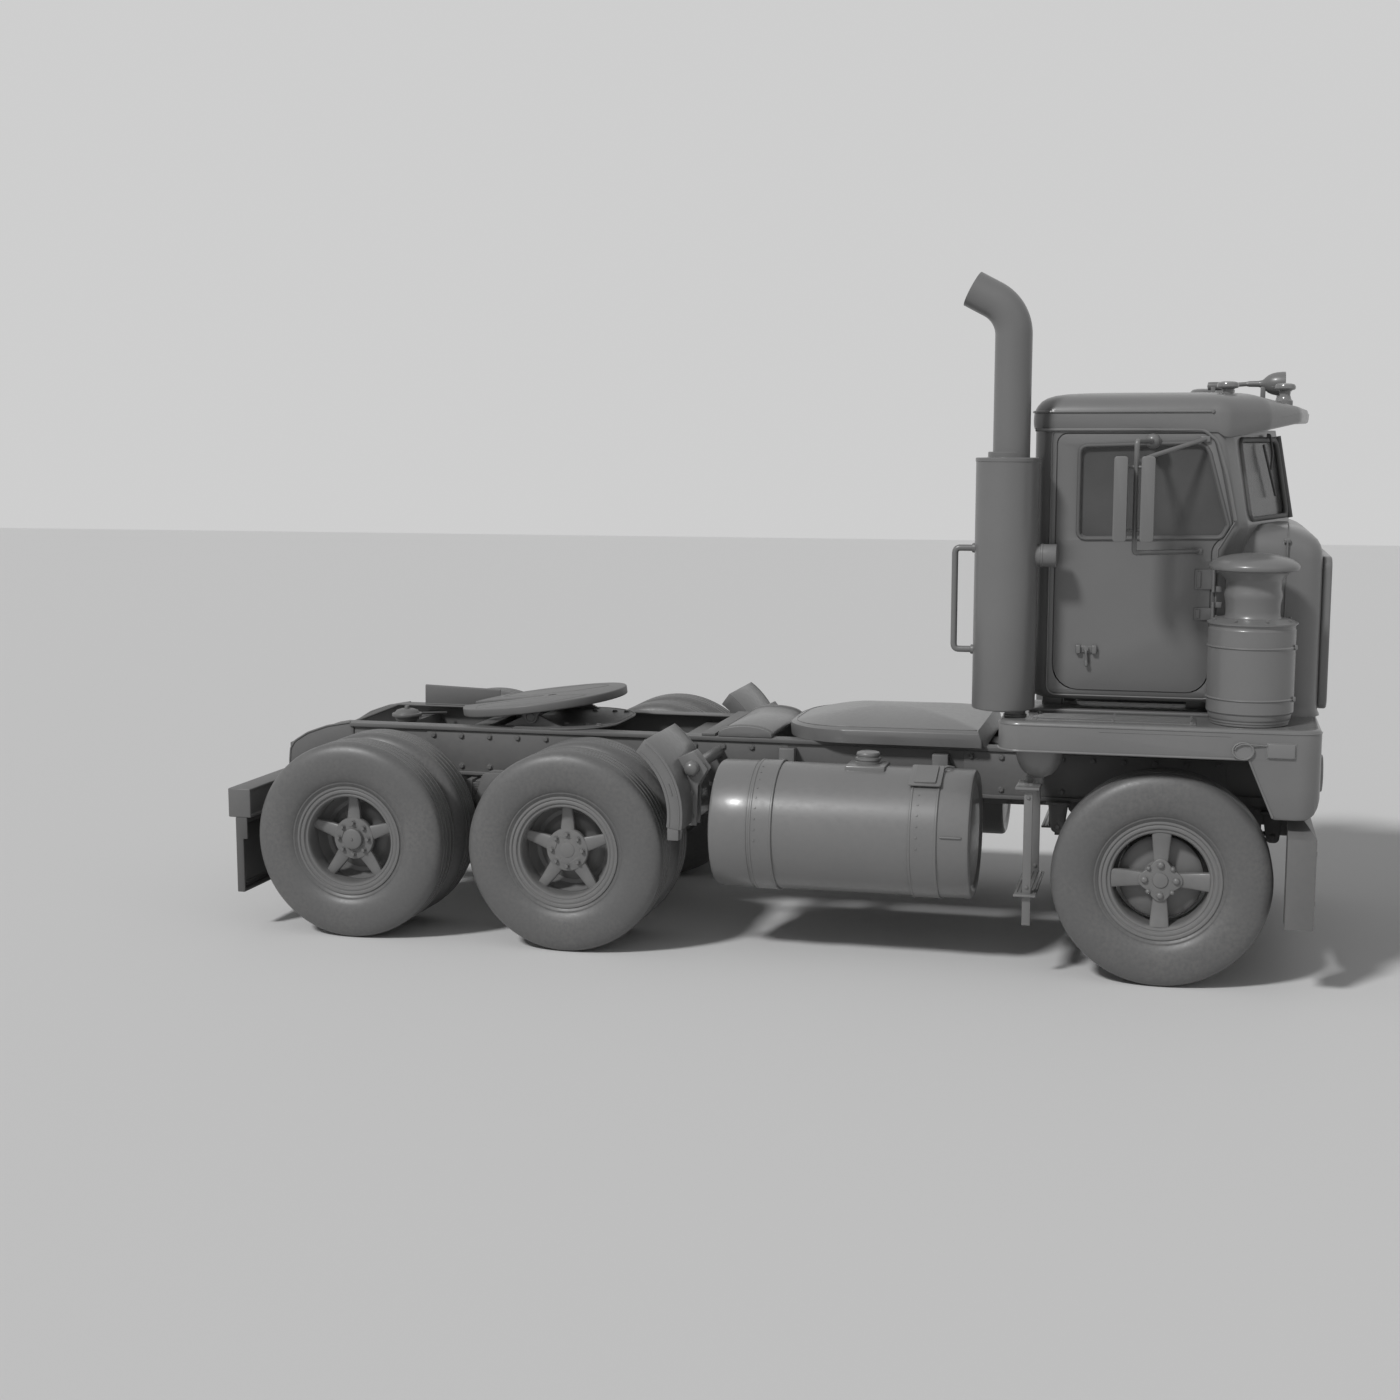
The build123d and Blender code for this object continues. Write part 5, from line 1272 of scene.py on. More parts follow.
def frame_covers():
    """The domed cover behind the cab, the low arched plate behind that, and the small fittings on the rails."""
    rows = []
    corners = mm(-1985, -500, -1985, 500, -905, 500, -905, -500)
    for inset, height in ((0.0, 1.031), (-0.004, 1.07), (-0.004, 1.098), (0.0, 1.106), (0.008, 1.112), (0.03, 1.118),
                          (0.07, 1.1275), (0.13, 1.141), (0.2, 1.154), (0.28, 1.165), (0.36, 1.173), (0.43, 1.177)):
        rounds = [max(0.36 - inset, 0.03), max(0.36 - inset, 0.03), 0.03, 0.03]
        row = rounded(spread(corners, -inset), rounds, 10)
        front = 0.9 * (height - 1.031)
        rows.append([(min(x, -0.905 - front * 0.5), y, height - 0.012 * max(0.0, (-1.5 - x) / 0.5) * (height > 1.1))
                     for x, y in row])
    pieces = [put(lofted("cover_form", rows), 0, 0, 0)]
    crease = [(x, y, z + 0.001) for x, y, z in rows[5] if x < -0.95]
    turn = max(range(len(crease)), key=lambda k: (Vector(crease[k]) - Vector(crease[k - 1])).length)
    pieces.append(tube("cover_crease", crease[turn:] + crease[:turn], 0.003, 0.02, False, 2))
    arch = [(-2.335, 1.031)]
    arch += [(-2.188 - 0.147 * cos(pi * k / 16), 1.042 + 0.046 * sin(pi * k / 16))
             for k in range(17)]
    arch.append((-2.041, 1.031))
    plate = put(panel("arch_plate", arch, "y", 0.86, 0), 0, -0.43, 0)
    pieces.append(soften(plate, 0.004, 2, 35))
    for o in (1, -1):
        y = o * 0.395
        pieces.append(tube("arch_rib", [(x, y, z + 0.001) for x, z in arch[2:-2]], 0.007, 0.02, False, 3))
    dress(joined("frame_cover_set", pieces), "chassis", "tank_metal", ["frame_covers"], 35)
    bar = block("cross_strip", (-2.425, -0.43, 1.03), (-2.35, 0.43, 1.046), 0.004)
    plate = mm(-4340, 1030, -4338, 1145, -3862, 1128, -3860, 1030)
    stand = soften(put(panel("stand_plate", plate, "y", 0.01, 0), 0, 0.372, 0), 0.003, 2)
    fold = block("stand_fold", (-4.338, 0.366, 1.03), (-3.862, 0.43, 1.037), 0.003)
    lip = tube("stand_lip", [(-4.337, 0.382, 1.143), (-3.863, 0.382, 1.127)], 0.006)
    canister = mm(0, 36, 40, 34, 62, 26, 72, 12, 84, 10, 87, 5, 87, -4, 84, -9, 72, -11, 66, -30, 50, -40, 0, -42)
    can = put(turned("air_valve", 40, canister), -4.3, 0, 1.02)
    nipple = mm(0, 52, 12, 52, 14, 49, 14, 30, 0, 30)
    can = joined("air_valve", [can, put(turned("nipple", 12, nipple), -4.3, 0, 1.02)])
    pipe_low = tube("air_line", mm(-4300, 70, 1015, -4300, 200, 1000, -4200, 360, 985, each=3), 0.008)
    pieces = [bar, can, pipe_low, stand, fold, lip]
    for x in (-4.28, -4.1, -3.92):
        pieces.append(again_at(BOLT_SMALL, x, 0.408, 1.037))
    dress(joined("frame_fittings", pieces), "chassis", "chassis_paint", (), 35)


def quarter_fenders():
    """The curved fender ahead of each driven wheel with rolled edges and beads, its post, braces and tab."""
    start, end = -9, 54

    def arc(far, angles):
        """Points of the fender's side view at one distance from its centre."""
        return [(-2.8 + far * cos(radians(a)), 0.74 + far * sin(radians(a))) for a in angles]

    around = [start + (end - start) * k / 14 for k in range(15)]
    skin = arc(0.47, around) + arc(0.4605, around[::-1])
    pieces = [soften(put(panel("fender_skin", skin, "y", 0.578, 0), 0, 0.621, 0), 0.003, 2, 40)]
    lip = arc(0.472, around) + arc(0.391, around[::-1])
    for y in (1.189, 0.62):
        pieces.append(soften(put(panel("fender_lip", lip, "y", 0.0105, 0), 0, y, 0), 0.004, 2, 40))
    post = mm(0, 435, 29.5, 435, 30, 440, 30, 985, 36.5, 990, 39.5, 996, 39.5, 1012, 36, 1024, 27, 1034, 12, 1039,
              0, 1040)
    pieces.append(put(turned("fender_post", 32, post), -2.33, 0, 0.95, turn_about("X", -90)))
    brace = mm(-2365, 652, -2310, 652, -2302, 860, -2252, 945, -2325, 1036, -2425, 990, -2375, 880)
    for y in (0.975, 0.9):
        pieces.append(put(panel("fender_brace", brace, "y", 0.012, 0.003), 0, y, 0))
    for z in (0.7, 0.82):
        pieces.append(again_at(BOLT_LARGE, -2.338, 0.987, z, OUT_LEFT))
    pieces.append(block("fender_tab", (-2.41, 1.125, 0.612), (-2.35, 1.195, 0.69), 0.006))
    pieces.append(tube("fender_slot", [(x, 1.2, z) for x, z in arc(0.43, (14, 18, 22))], 0.005, 0.01, False, 3))
    for far in (0.405, 0.455):
        line = [(x, 1.1995, z) for x, z in arc(far, range(start + 1, end, 4))]
        pieces.append(tube("fender_bead", line, 0.0035, 0.01, False, 2))
    dress(both_sides("quarter_fender_set", pieces), "chassis", "body_paint", ["quarter_fenders"], 35)


# Fifth wheel

def fifth_wheel():
    """The coupling plate with its rolled rim, throat, jaw, ears, ribs and grooves, and the base with its pins."""
    row = []
    for k in range(57):
        a = radians(195 + 330 * k / 56)
        wide = abs(cos(a)) ** 0.86 * copysign(1, cos(a))
        row.append((-0.045 + 0.465 * wide, 0.47 * sin(a)))
    row = [(-0.508, -0.085)] + row[1:-1] + mm(-508, 85, -130, 33, -60, 30, -60, -30, -130, -33)
    plate = lofted("plate_form", [[(x, y, z) for x, y in row] for z in (0.026, 0.0735)])
    soften(plate, 0.008, 3, 50)
    hole = turned("jaw_hole", 48, corners_of(0, 100, 25.6, 0))
    carve(plate, hole)
    pieces = [plate]
    jaw = turned("jaw_ring", 48, mm(25.6, 46, 25.6, 20, 50, 20, 56, 26, 56, 46, 25.6, 46))
    pieces.append(jaw)
    for o in (1, -1):
        for y in (PIVOT_Y - 0.032, PIVOT_Y + 0.032):
            ear = mm(90, 54, -90, 54, -36, 0)
            ear += [(0.036 * cos(radians(a)), 0.036 * sin(radians(a))) for a in range(190, 360, 17)]
            ear.append((0.036, 0.0))
            form = panel("ear", ear, "y", 0.022, 0)
            form.data.transform(Matrix.Translation((0, o * y - 0.011, 0)))
            drill = turned("pin_hole", 32, corners_of(0, 600, 25.2, -600))
            drill.data.transform(turn_about("X", 90))
            carve(form, drill)
            pieces.append(soften(form, 0.003, 2, 50))
        for x in (-0.3, -0.12, 0.1, 0.26):
            wide = 0.27 if abs(x) > 0.2 else 0.3
            rib = block("plate_rib", (x - 0.006 - SHIFT, o * 0.12, 0.018), (x + 0.006 - SHIFT, o * wide, 0.045),
                        0.003)
            pieces.append(rib)
        ring = [(x, y, 0.0738) for x, y in rounded([(-0.38, o * 0.17), (-0.34, o * 0.36), (0.13, o * 0.4),
                                                    (0.3, o * 0.2), (0.1, o * 0.1), (-0.2, o * 0.12)], 0.05, 4)]
        groove = tube("grease_groove", [(x - SHIFT, y, z - 0.0008) for x, y, z in ring], 0.0022, 0.01, True, 2)
        pieces.append(groove)
    pieces.append(tube("release_handle", [(0.02 - SHIFT, -0.3, 0.034), (0.02 - SHIFT, -0.44, 0.034),
                                          (0.0 - SHIFT, -0.455, 0.03)], 0.009, 0.02))
    place = at(COUPLING) @ turn_about("Y", -7.5)
    plate_set = settle(joined("coupling_plate", pieces), place)
    dress(plate_set, "fifth_wheel", "chassis_paint", ["fifth_wheel_plate"], 35)
    low = rounded(mm(-3498, -440, -3498, 440, -2975, 440, -2975, -440), [0.02, 0.02, 0.3, 0.3], 9)
    tight = rounded(mm(-3490, -425, -3490, 425, -2990, 425, -2990, -425), [0.02, 0.02, 0.29, 0.29], 9)
    base = lofted("base_form", [[(x, y, z) for x, y in row] for z, row in
                                ((1.031, low), (1.0365, low), (1.0385, tight), (1.0405, tight))])
    pieces = [put(base, 0, 0, 0)]
    rim = [(x, y, 1.0355) for x, y in low if x > -3.3]
    pieces.append(tube("base_rim", rim, 0.006, 0.02, False, 3))
    for o in (1, -1):
        y = o * PIVOT_Y
        side = mm(-3570, 1037, -3230, 1037, -3364, 1100)
        side += [(-3.4 + 0.036 * cos(radians(a)), 1.092 + 0.036 * sin(radians(a)))
                 for a in range(15, 180, 15)] + [(-3.436, 1.1)]
        pieces.append(put(panel("pivot_bracket", side, "y", 0.03, 0.003), 0, y - 0.015, 0))
        pin = turned("pivot_pin", 32, mm(0, 45.5, 20, 45.5, 24.8, 42, 24.8, -42, 20, -45.5, 0, -45.5))
        pieces.append(put(pin, COUPLING[0], y, COUPLING[2], turn_about("X", 90)))
        for x in (-3.46, -3.24, -3.12, -3.05):
            pieces.append(again_at(BOLT_LARGE, x, o * 0.27, 1.0405))
    dress(joined("coupling_base", pieces), "chassis", "chassis_paint", ["fifth_wheel_base"], 35)


# Inside the cab

def cushion(name, outline, low, high, lean, cap, channels):
    """A padded block: a rounded form remeshed, swelled by cloth pressure, then pressed in along its sewn channels."""
    drawn = 0.012
    loops = []
    for k, inset in ((0.0, 0.03), (0.12, 0.008), (0.3, 0.0), (0.7, 0.0), (0.88, 0.01), (1.0, 0.035)):
        row = rounded(spread(outline, -drawn - inset), 0.045, 5)
        loops.append([(x, y, low + drawn + (high - low - 2 * drawn) * k) for x, y in row])
    pad = lofted(name, loops)
    modified(pad, "REMESH", mode="VOXEL", voxel_size=0.01)
    flat = [point.co.copy() for point in pad.data.vertices]
    pad.modifiers.new("fill", "CLOTH")
    cloth = pad.modifiers["fill"]
    cloth.settings.use_pressure = True
    cloth.settings.uniform_pressure_force = 4
    cloth.settings.effector_weights.gravity = 0
    for frame_number in range(1, 21):
        bpy.context.scene.frame_set(frame_number)
    bpy.ops.object.modifier_apply(modifier=cloth.name)
    bpy.context.scene.frame_set(1)
    for point, before in zip(pad.data.vertices, flat):
        move = point.co - before
        if move.length > cap:
            point.co = before + move.normalized() * cap
    modified(pad, "SMOOTH", iterations=4)
    modified(pad, "SUBSURF", levels=1, render_levels=1)
    middle = (low + high) / 2
    for point in pad.data.vertices:
        if point.co.z > middle:
            dip = sum(exp(-((point.co.y - y) / 0.009) ** 2) for y in channels)
            point.co.z -= 0.01 * dip
    return settle(pad, lean)


def seats():
    """Two seats: sprung base box, padded seat with piped edge, padded back with sewn channels, and its hard shell."""
    base = []
    base.append(block("seat_box", (-0.4, -0.15, 1.396), (-0.04, 0.15, 1.66), 0.012, 3))
    base.append(block("seat_pan", (-0.47, -0.225, 1.655), (0.005, 0.225, 1.7), 0.014, 3))
    for k in range(5):
        z = 1.44 + k * 0.042
        base.append(block("bellows_fold", (-0.41, -0.16, z), (-0.03, 0.16, z + 0.02), 0.009, 2))
    shell = []
    for x, z in mm(-466, 1700, -474, 1750, -529, 2300, -535, 2360):
        corners = [(x, -0.225), (x, 0.225), (x - 0.022, 0.225), (x - 0.022, -0.225)]
        shell.append([(u, v, z) for u, v in rounded(corners, 0.009, 3)])
    base.append(put(lofted("seat_shell", shell), 0, 0, 0))
    frame_part = joined("seat_frame", base)
    outline = mm(-460, -236, -460, 236, 18, 236, 18, -236)
    low_pad = cushion("seat_cushion", outline, 1.695, 1.832, at((0, 0, 0)), 0.014, (-0.13, 0.0, 0.13))
    welt = [(x, y, 1.785) for x, y in rounded(spread(outline, -0.006), 0.05, 5)]
    outline = mm(-300, -232, -300, 232, 300, 232, 300, -232)
    lean = at((-0.488, 0, 2.07)) @ turn_about("Y", 83.5) @ turn_about("Z", 180)
    back = cushion("seat_back", outline, 0.0, 0.075, lean, 0.014, (-0.14, -0.07, 0.0, 0.07, 0.14))
    piping = tube("seat_piping", welt, 0.0045, 0.01, True, 3)
    hard, cords = [], []
    for name, y in (("driver", 0.42), ("rider", -0.42)):
        place = Matrix.Translation((0, y, 0))
        hard.append(again(frame_part, f"seat_frame_{name}", place))
        for part, kind in ((low_pad, "cushion"), (back, "back")):
            piece = again(part, f"seat_{kind}_{name}", place)
            stands = ["seats"] if name == "driver" and kind == "cushion" else ()
            dress(piece, "chassis", "seat_vinyl", stands, 80)
        cords.append(again(piping, f"seat_piping_{name}", place))
    discard(frame_part, low_pad, back, piping)
    dress(joined("seat_bases", hard), "chassis", "cab_plastic", (), 35)
    dress(joined("seat_pipings", cords), "chassis", "seat_vinyl", (), 60)


def dashboard():
    """The dashboard with its brow, gauges, switches and glove door, the steering wheel, pedals and gear lever."""
    side = mm(300, 1710, 140, 1785, 126, 1800, 122, 1950, 130, 1965, 225, 2060, 240, 2068, 300, 2068)
    body = put(panel("dash_body", side, "y", 1.25, 0), 0, -0.625, 0)
    pieces = [soften(body, 0.01, 3, 40)]
    brow = mm(215, 2052, 200, 2060, 196, 2070, 204, 2078, 300, 2084, 310, 2078, 310, 2056)
    pieces.append(soften(put(panel("dash_brow", brow, "y", 1.2, 0), 0, -0.6, 0), 0.005, 3, 40))
    pieces.append(block("console", (0.17, -0.13, 1.395), (0.27, 0.13, 1.76), 0.012, 3))
    way = turn_about("Y", -45)
    bezel = turned("gauge_rim", 36, mm(0, 2, 38, 2, 39, 9, 43, 10.5, 46.5, 8, 47.5, 0, 0, 0))
    small = turned("small_gauge", 28, mm(0, 2, 21, 2, 22, 7, 25, 8, 27, 6, 27.5, 0, 0, 0))
    for y in (0.365, 0.475):
        pieces.append(again(bezel, "gauge", at((0.18, y, 2.017)) @ way))
    for k in range(6):
        for x, z in ((0.158, 1.994), (0.2, 2.036)):
            pieces.append(again(small, "gauge", at((x, 0.27 - k * 0.066, z)) @ way))
    discard(bezel, small)
    for k in range(8):
        y = -0.2 - k * 0.045
        knob = turned("switch", 14, mm(0, 16, 5, 15, 6.5, 10, 6.5, 3, 9, 0, 0, 0))
        pieces.append(put(knob, 0.165, y, 2.001, way))
    pieces.append(block("glove_door", (0.118, -0.55, 1.83), (0.126, -0.22, 1.94), 0.006, 3))
    dress(joined("dash_set", pieces), "chassis", "cab_plastic", ["dashboard"], 35)
    way = turn_about("Y", degrees(atan2(-0.19, 0.21)))
    ring = []
    fresh()
    bpy.ops.mesh.primitive_torus_add(major_radius=0.219, minor_radius=0.0135, major_segments=72, minor_segments=14)
    rim = bpy.context.object
    rim.name = "rim"
    for point in rim.data.vertices:
        around = atan2(point.co.y, point.co.x)
        far = hypot(point.co.x, point.co.y)
        if far < 0.219:
            grow = 0.0018 * sin(around * 18)
            point.co.x -= grow * cos(around)
            point.co.y -= grow * sin(around)
    ring.append(rim)
    hub = turned("hub", 36, mm(0, 12, 26, 11, 38, 4, 44, -10, 44, -26, 24, -34, 23.5, -290, 0, -290))
    ring.append(hub)
    section = rounded(corners_of(-1000, -4, 1000, 4), 0.0035, 2)
    stations = mm(30, 20, -8, 100, 15, -12, 170, 13.5, -6, 212, 15, 0, each=3)
    for turn in (90, 210, 330):
        arm = lofted("arm", [[(x, y * wide, z + fall) for y, z in section] for x, wide, fall in stations])
        arm.data.transform(turn_about("Z", turn))
        ring.append(arm)
    wheel = settle(joined("wheel_form", ring), at((0.04, 0.42, 2.01)) @ way)
    wheel.name = "steering_wheel_set"
    stalk = tube("signal_stalk", mm(100, 440, 1950, 85, 530, 1975, 75, 585, 1990, each=3), 0.0055, 0.02)
    dress(joined("steering_wheel_set", [wheel, stalk]), "chassis", "cab_plastic", ["steering_wheel"], 40)
    pedals = []
    for y, x in ((0.52, 0.2), (0.4, 0.2), (0.3, 0.16)):
        pedals.append(block("pedal", (x - 0.006, y - 0.03, 1.46), (x + 0.006, y + 0.03, 1.54), 0.004))
        pedals.append(tube("pedal_arm", [(x, y, 1.5), (x + 0.03, y, 1.6), (x + 0.04, y, 1.75)], 0.006, 0.03))
    lever = tube("gear_lever", mm(-20, 90, 1390, -20, 100, 1700, -70, 130, 1960, each=3), 0.009, 0.08, False, 4)
    pedals.append(lever)
    boot = mm(0, 1470, 20, 1468, 30, 1452, 42, 1446, 46, 1432, 58, 1426, 62, 1410, 75, 1404, 80, 1390, 0, 1390)
    pedals.append(put(turned("lever_boot", 32, boot), -0.02, 0.092, 0))
    knob = mm(0, 26, 14, 23, 22, 13, 24, 0, 21, -13, 13, -23, 0, -26)
    pedals.append(put(turned("lever_knob", 24, knob), -0.074, 0.132, 1.978))
    dress(joined("cab_controls", pedals), "chassis", "cab_plastic", (), 40)


# Springs, axles and shafts

def leaf(half, crown, thick, wide, x, y):
    """One spring leaf, its middle at x; crown gives its upper side's height at each distance from there."""
    row = [(-half + 2 * half * step / 12) for step in range(13)]
    outline = [(u, crown(u)) for u in row] + [(u, crown(u) - thick) for u in reversed(row)]
    return soften(put(panel("leaf", outline, "y", wide, 0), x, y, 0), 0.0015, 1, 60)


def rear_springs():
    """Each side's leaf pack over the two axles, with its clips, saddle, trunnion, U-bolts and axle seats."""
    pieces = []
    middle = -3.5515
    for k in range(9):
        def crown(u):
            return 0.628 + k * 0.0125 + 0.026 * (1 - (u / 0.5) ** 2)
        pieces.append(leaf(0.5 - k * 0.047, crown, 0.0115, 0.075, middle, 0.468))
    for x in (-0.33, -0.16, 0.16, 0.33):
        top = 0.628 + 0.0125 * (9 - abs(x) * 12)
        pieces.append(block("leaf_clip", (middle + x - 0.018, 0.463, 0.62), (middle + x + 0.018, 0.548, top + 0.04),
                            0.004))
    saddle = mm(-120, 620, 120, 620, 120, 665, 75, 790, 45, 800, -45, 800, -75, 790, -120, 665)
    for y in (0.549, 0.449):
        pieces.append(soften(put(panel("saddle", saddle, "y", 0.014, 0), middle, y, 0), 0.004, 2, 40))
    trunnion = mm(0, 565, 30, 565, 36, 558, 38, 540, 55, 538, 58, 532, 58, 440, 0, 440)
    pieces.append(put(turned("trunnion", 36, trunnion), middle, 0, 0.7, turn_about("X", -90)))
    for x in (-0.085, 0.085):
        for y in (0.475, 0.54):
            pieces.append(tube("u_bolt", [(middle + x, y, 0.6), (middle + x, y, 0.775)], 0.008))
    for x in (-4.12, -2.983):
        pieces.append(block("axle_seat", (x - 0.075, 0.463, 0.585), (x + 0.075, 0.548, 0.632), 0.008, 2))
        for dx in (-0.05, 0.05):
            pieces.append(again_at(BOLT_LARGE, x + dx, 0.505, 0.632))
    dress(both_sides("rear_spring_set", pieces), "chassis", "chassis_paint", ["rear_suspension"], 35)


def driven_axles():
    """The two driven axles: tubes, domed differential with its bolted ring and nose, spring pads and air pots."""
    models = []
    tube_rings = mm(0, -980, 60, -980, 75, -970, 78, -900, 70, -620, 72, -400, 100, -250, 130, -160, 130, 160,
                    100, 250, 72, 400, 70, 620, 78, 900, 75, 970, 60, 980, 0, 980)
    body = turned("axle_tube", 40, tube_rings)
    body.data.transform(turn_about("X", 90))
    bowl = mm(0, -150, 60, -147, 120, -130, 160, -100, 182, -60, 190, -20, 190, 20, 188, 50, 175, 85, 140, 120,
              110, 150, 98, 200, 94, 250, 75, 256, 75, 270, 0, 270)
    ball = turned("differential", 48, bowl)
    ball.data.transform(turn_about("Y", 90))
    ring = turned("bolt_ring", 48, mm(170, 45, 203, 45, 206, 41, 206, 26, 203, 22, 170, 22, 170, 45))
    ring.data.transform(turn_about("Y", 90))
    parts = [body, ball, ring]
    for k in range(12):
        a = radians(30 * k)
        spot = Matrix.Translation((0.045, 0.195 * cos(a), 0.195 * sin(a))) @ turn_about("Y", 90)
        parts.append(again(BOLT_SMALL, "ring_bolt", spot))
    cap = turned("filler_plug", 6, corners_of(0, 12, 14, -10))
    cap.data.transform(Matrix.Translation((-0.145, 0.03, 0.01)) @ turn_about("Y", -90))
    parts.append(cap)
    for o in (1, -1):
        parts.append(block("spring_pad", (-0.07 - SHIFT, o * 0.505 - 0.04, 0.02),
                           (0.07 - SHIFT, o * 0.505 + 0.04, 0.078), 0.01))
        pot = turned("brake_pot", 32, mm(0, 110, 50, 109, 70, 100, 78, 85, 83, 78, 83, 66, 78, 60, 72, 30, 50, 10,
                                         20, 0, 14, -40, 0, -40))
        pot.data.transform(Matrix.Translation((-0.13, o * 0.38, 0.03)) @ turn_about("Y", -75))
        parts.append(pot)
    model = joined("axle_model", parts)
    for x in (MID_AXLE_X, REAR_AXLE_X):
        models.append(again(model, "axle", at((x, 0, AXLE_Z))))
    discard(model)
    dress(joined("driven_axle_set", models), "chassis", "engine_iron", ["drive_axles"], 35)


def front_springs():
    """Each side's front leaf pack with its eyes, hangers, clamp plates and U-bolts."""
    pieces = []
    for k in range(7):
        def crown(u):
            return 0.634 - 0.0107 * k + 0.018 * (u / 0.555) ** 2
        pieces.append(leaf(0.555 - 0.072 * k, crown, 0.0102, 0.076, 0, 0.39))
    pieces.append(block("clamp_plate", (-0.075, 0.384, 0.632), (0.075, 0.472, 0.65), 0.005))
    pieces.append(block("spring_seat", (-0.075, 0.384, 0.522), (0.075, 0.472, 0.562), 0.008))
    for x in (-0.05, 0.05):
        loop = [(x, 0.381, 0.5), (x, 0.381, 0.658), (x, 0.475, 0.658), (x, 0.475, 0.5)]
        pieces.append(tube("u_bolt", loop, 0.008, 0.02))
        for y in (0.381, 0.475):
            pieces.append(again_at(BOLT_LARGE, x, y, 0.521, turn_about("X", 180)))
    cheek = rounded(mm(-50, 760, -30, 606, 30, 606, 50, 760), [0.004, 0.024, 0.024, 0.004])
    eye = mm(0, 39, 20, 39, 22.5, 36, 22.5, -36, 20, -39, 0, -39)
    for x in (-0.53, 0.53):
        pieces.append(put(turned("spring_eye", 28, eye), x, 0.428, 0.636, OUT_LEFT))
        pieces.append(block("hanger_foot", (x - 0.06, 0.374, 0.75), (x + 0.06, 0.482, 0.762), 0.003))
        for y, out in ((0.376, OUT_RIGHT), (0.47, OUT_LEFT)):
            pieces.append(put(panel("hanger_cheek", cheek, "y", 0.01, 0.0025), x, y, 0))
            pieces.append(again_at(BOLT_LARGE, x, y if y < 0.4 else 0.48, 0.636, out))
    dress(both_sides("front_spring_set", pieces), "chassis", "chassis_paint", ["front_springs"], 35)


def front_axle():
    """The forged front axle: an I-section beam that drops between the springs, with a bored boss at each end."""
    stations = mm(-872, 565, 475, -620, 565, 475, -600, 563, 462, -560, 537, 432, -530, 520, 430, each=3)
    stations += [(-y, top, low) for y, top, low in reversed(stations)]
    loops = []
    for y, top, low in stations:
        half = [(0.04, top), (0.04, top - 0.016), (0.014, top - 0.026), (0.014, low + 0.026), (0.04, low + 0.016),
                (0.04, low)]
        loops.append([(x, y, z) for x, z in half + [(-x, z) for x, z in reversed(half)]])
    pieces = [soften(put(lofted("axle_beam", loops), 0, 0, 0), 0.004, 2, 40)]
    boss = mm(18.5, 60, 36, 60, 40, 56, 40, -56, 36, -60, 18.5, -60, 18.5, 60)
    for o in (1, -1):
        pieces.append(put(turned("kingpin_boss", 40, boss), 0, o * KINGPIN_Y, AXLE_Z))
        pieces.append(block("spring_pad", (-0.072, o * 0.386, 0.508), (0.072, o * 0.47, 0.526), 0.005))
    dress(joined("front_axle", pieces), "chassis", "chassis_paint", ["front_axle_beam"], 35)


def knuckles():
    """The steered knuckles: two ears round the boss, kingpin caps, the spindle on its bolted flange and the arm."""
    ear = mm(0, 34, 36, 34, 40, 30, 40, 4, 36, 0, 0, 0)
    cap = mm(0, 6, 22, 6, 26, 3, 26, -2, 0, -2)
    flange = mm(0, 22, 40, 22, 46, 18, 74, 18, 78, 14, 78, 3, 74, 0, 0, 0)
    spindle = mm(0, 128, 30, 128, 35, 122, 35, 50, 44, 40, 44, 0, 0, 0)
    pieces = []
    for z in (0.421, 0.585):
        pieces.append(put(turned("knuckle_ear", 40, ear), 0, KINGPIN_Y, z))
        pieces.append(block("ear_arm", (-0.037, KINGPIN_Y, z + 0.002), (0.037, 0.962, z + 0.032), 0.006))
    pieces.append(put(turned("kingpin", 28, corners_of(0, 73, 18, -73)), 0, KINGPIN_Y, AXLE_Z))
    pieces.append(put(turned("kingpin_cap", 28, cap), 0, KINGPIN_Y, 0.619))
    pieces.append(block("knuckle_web", (-0.038, 0.946, 0.425), (0.038, 0.964, 0.615), 0.006))
    pieces.append(put(turned("spindle_flange", 44, flange), 0, 0.952, AXLE_Z, OUT_LEFT))
    pieces.append(put(turned("spindle", 40, spindle), 0, 0.955, AXLE_Z, OUT_LEFT))
    for k in range(8):
        a = radians(45 * k + 22.5)
        pieces.append(again_at(BOLT_SMALL, 0.062 * cos(a), 0.97, AXLE_Z + 0.062 * sin(a), OUT_LEFT))
    arm = rounded(mm(-188, -18, 30, -34, 30, 34, -188, 18), [0.015, 0.02, 0.02, 0.015])
    pieces.append(put(panel("steering_arm", arm, "z", 0.03, 0.006, 3), 0, KINGPIN_Y, 0.423))
    stud = corners_of(0, 48, 8.5, -30)
    pieces.append(put(turned("ball_stud", 20, stud), ROD_X, KINGPIN_Y, 0.453))
    for side, piece in left_and_right("steer_knuckle", pieces):
        dress(piece, f"steer_{side}", "chassis_paint", [f"knuckle_{side}"], 35)


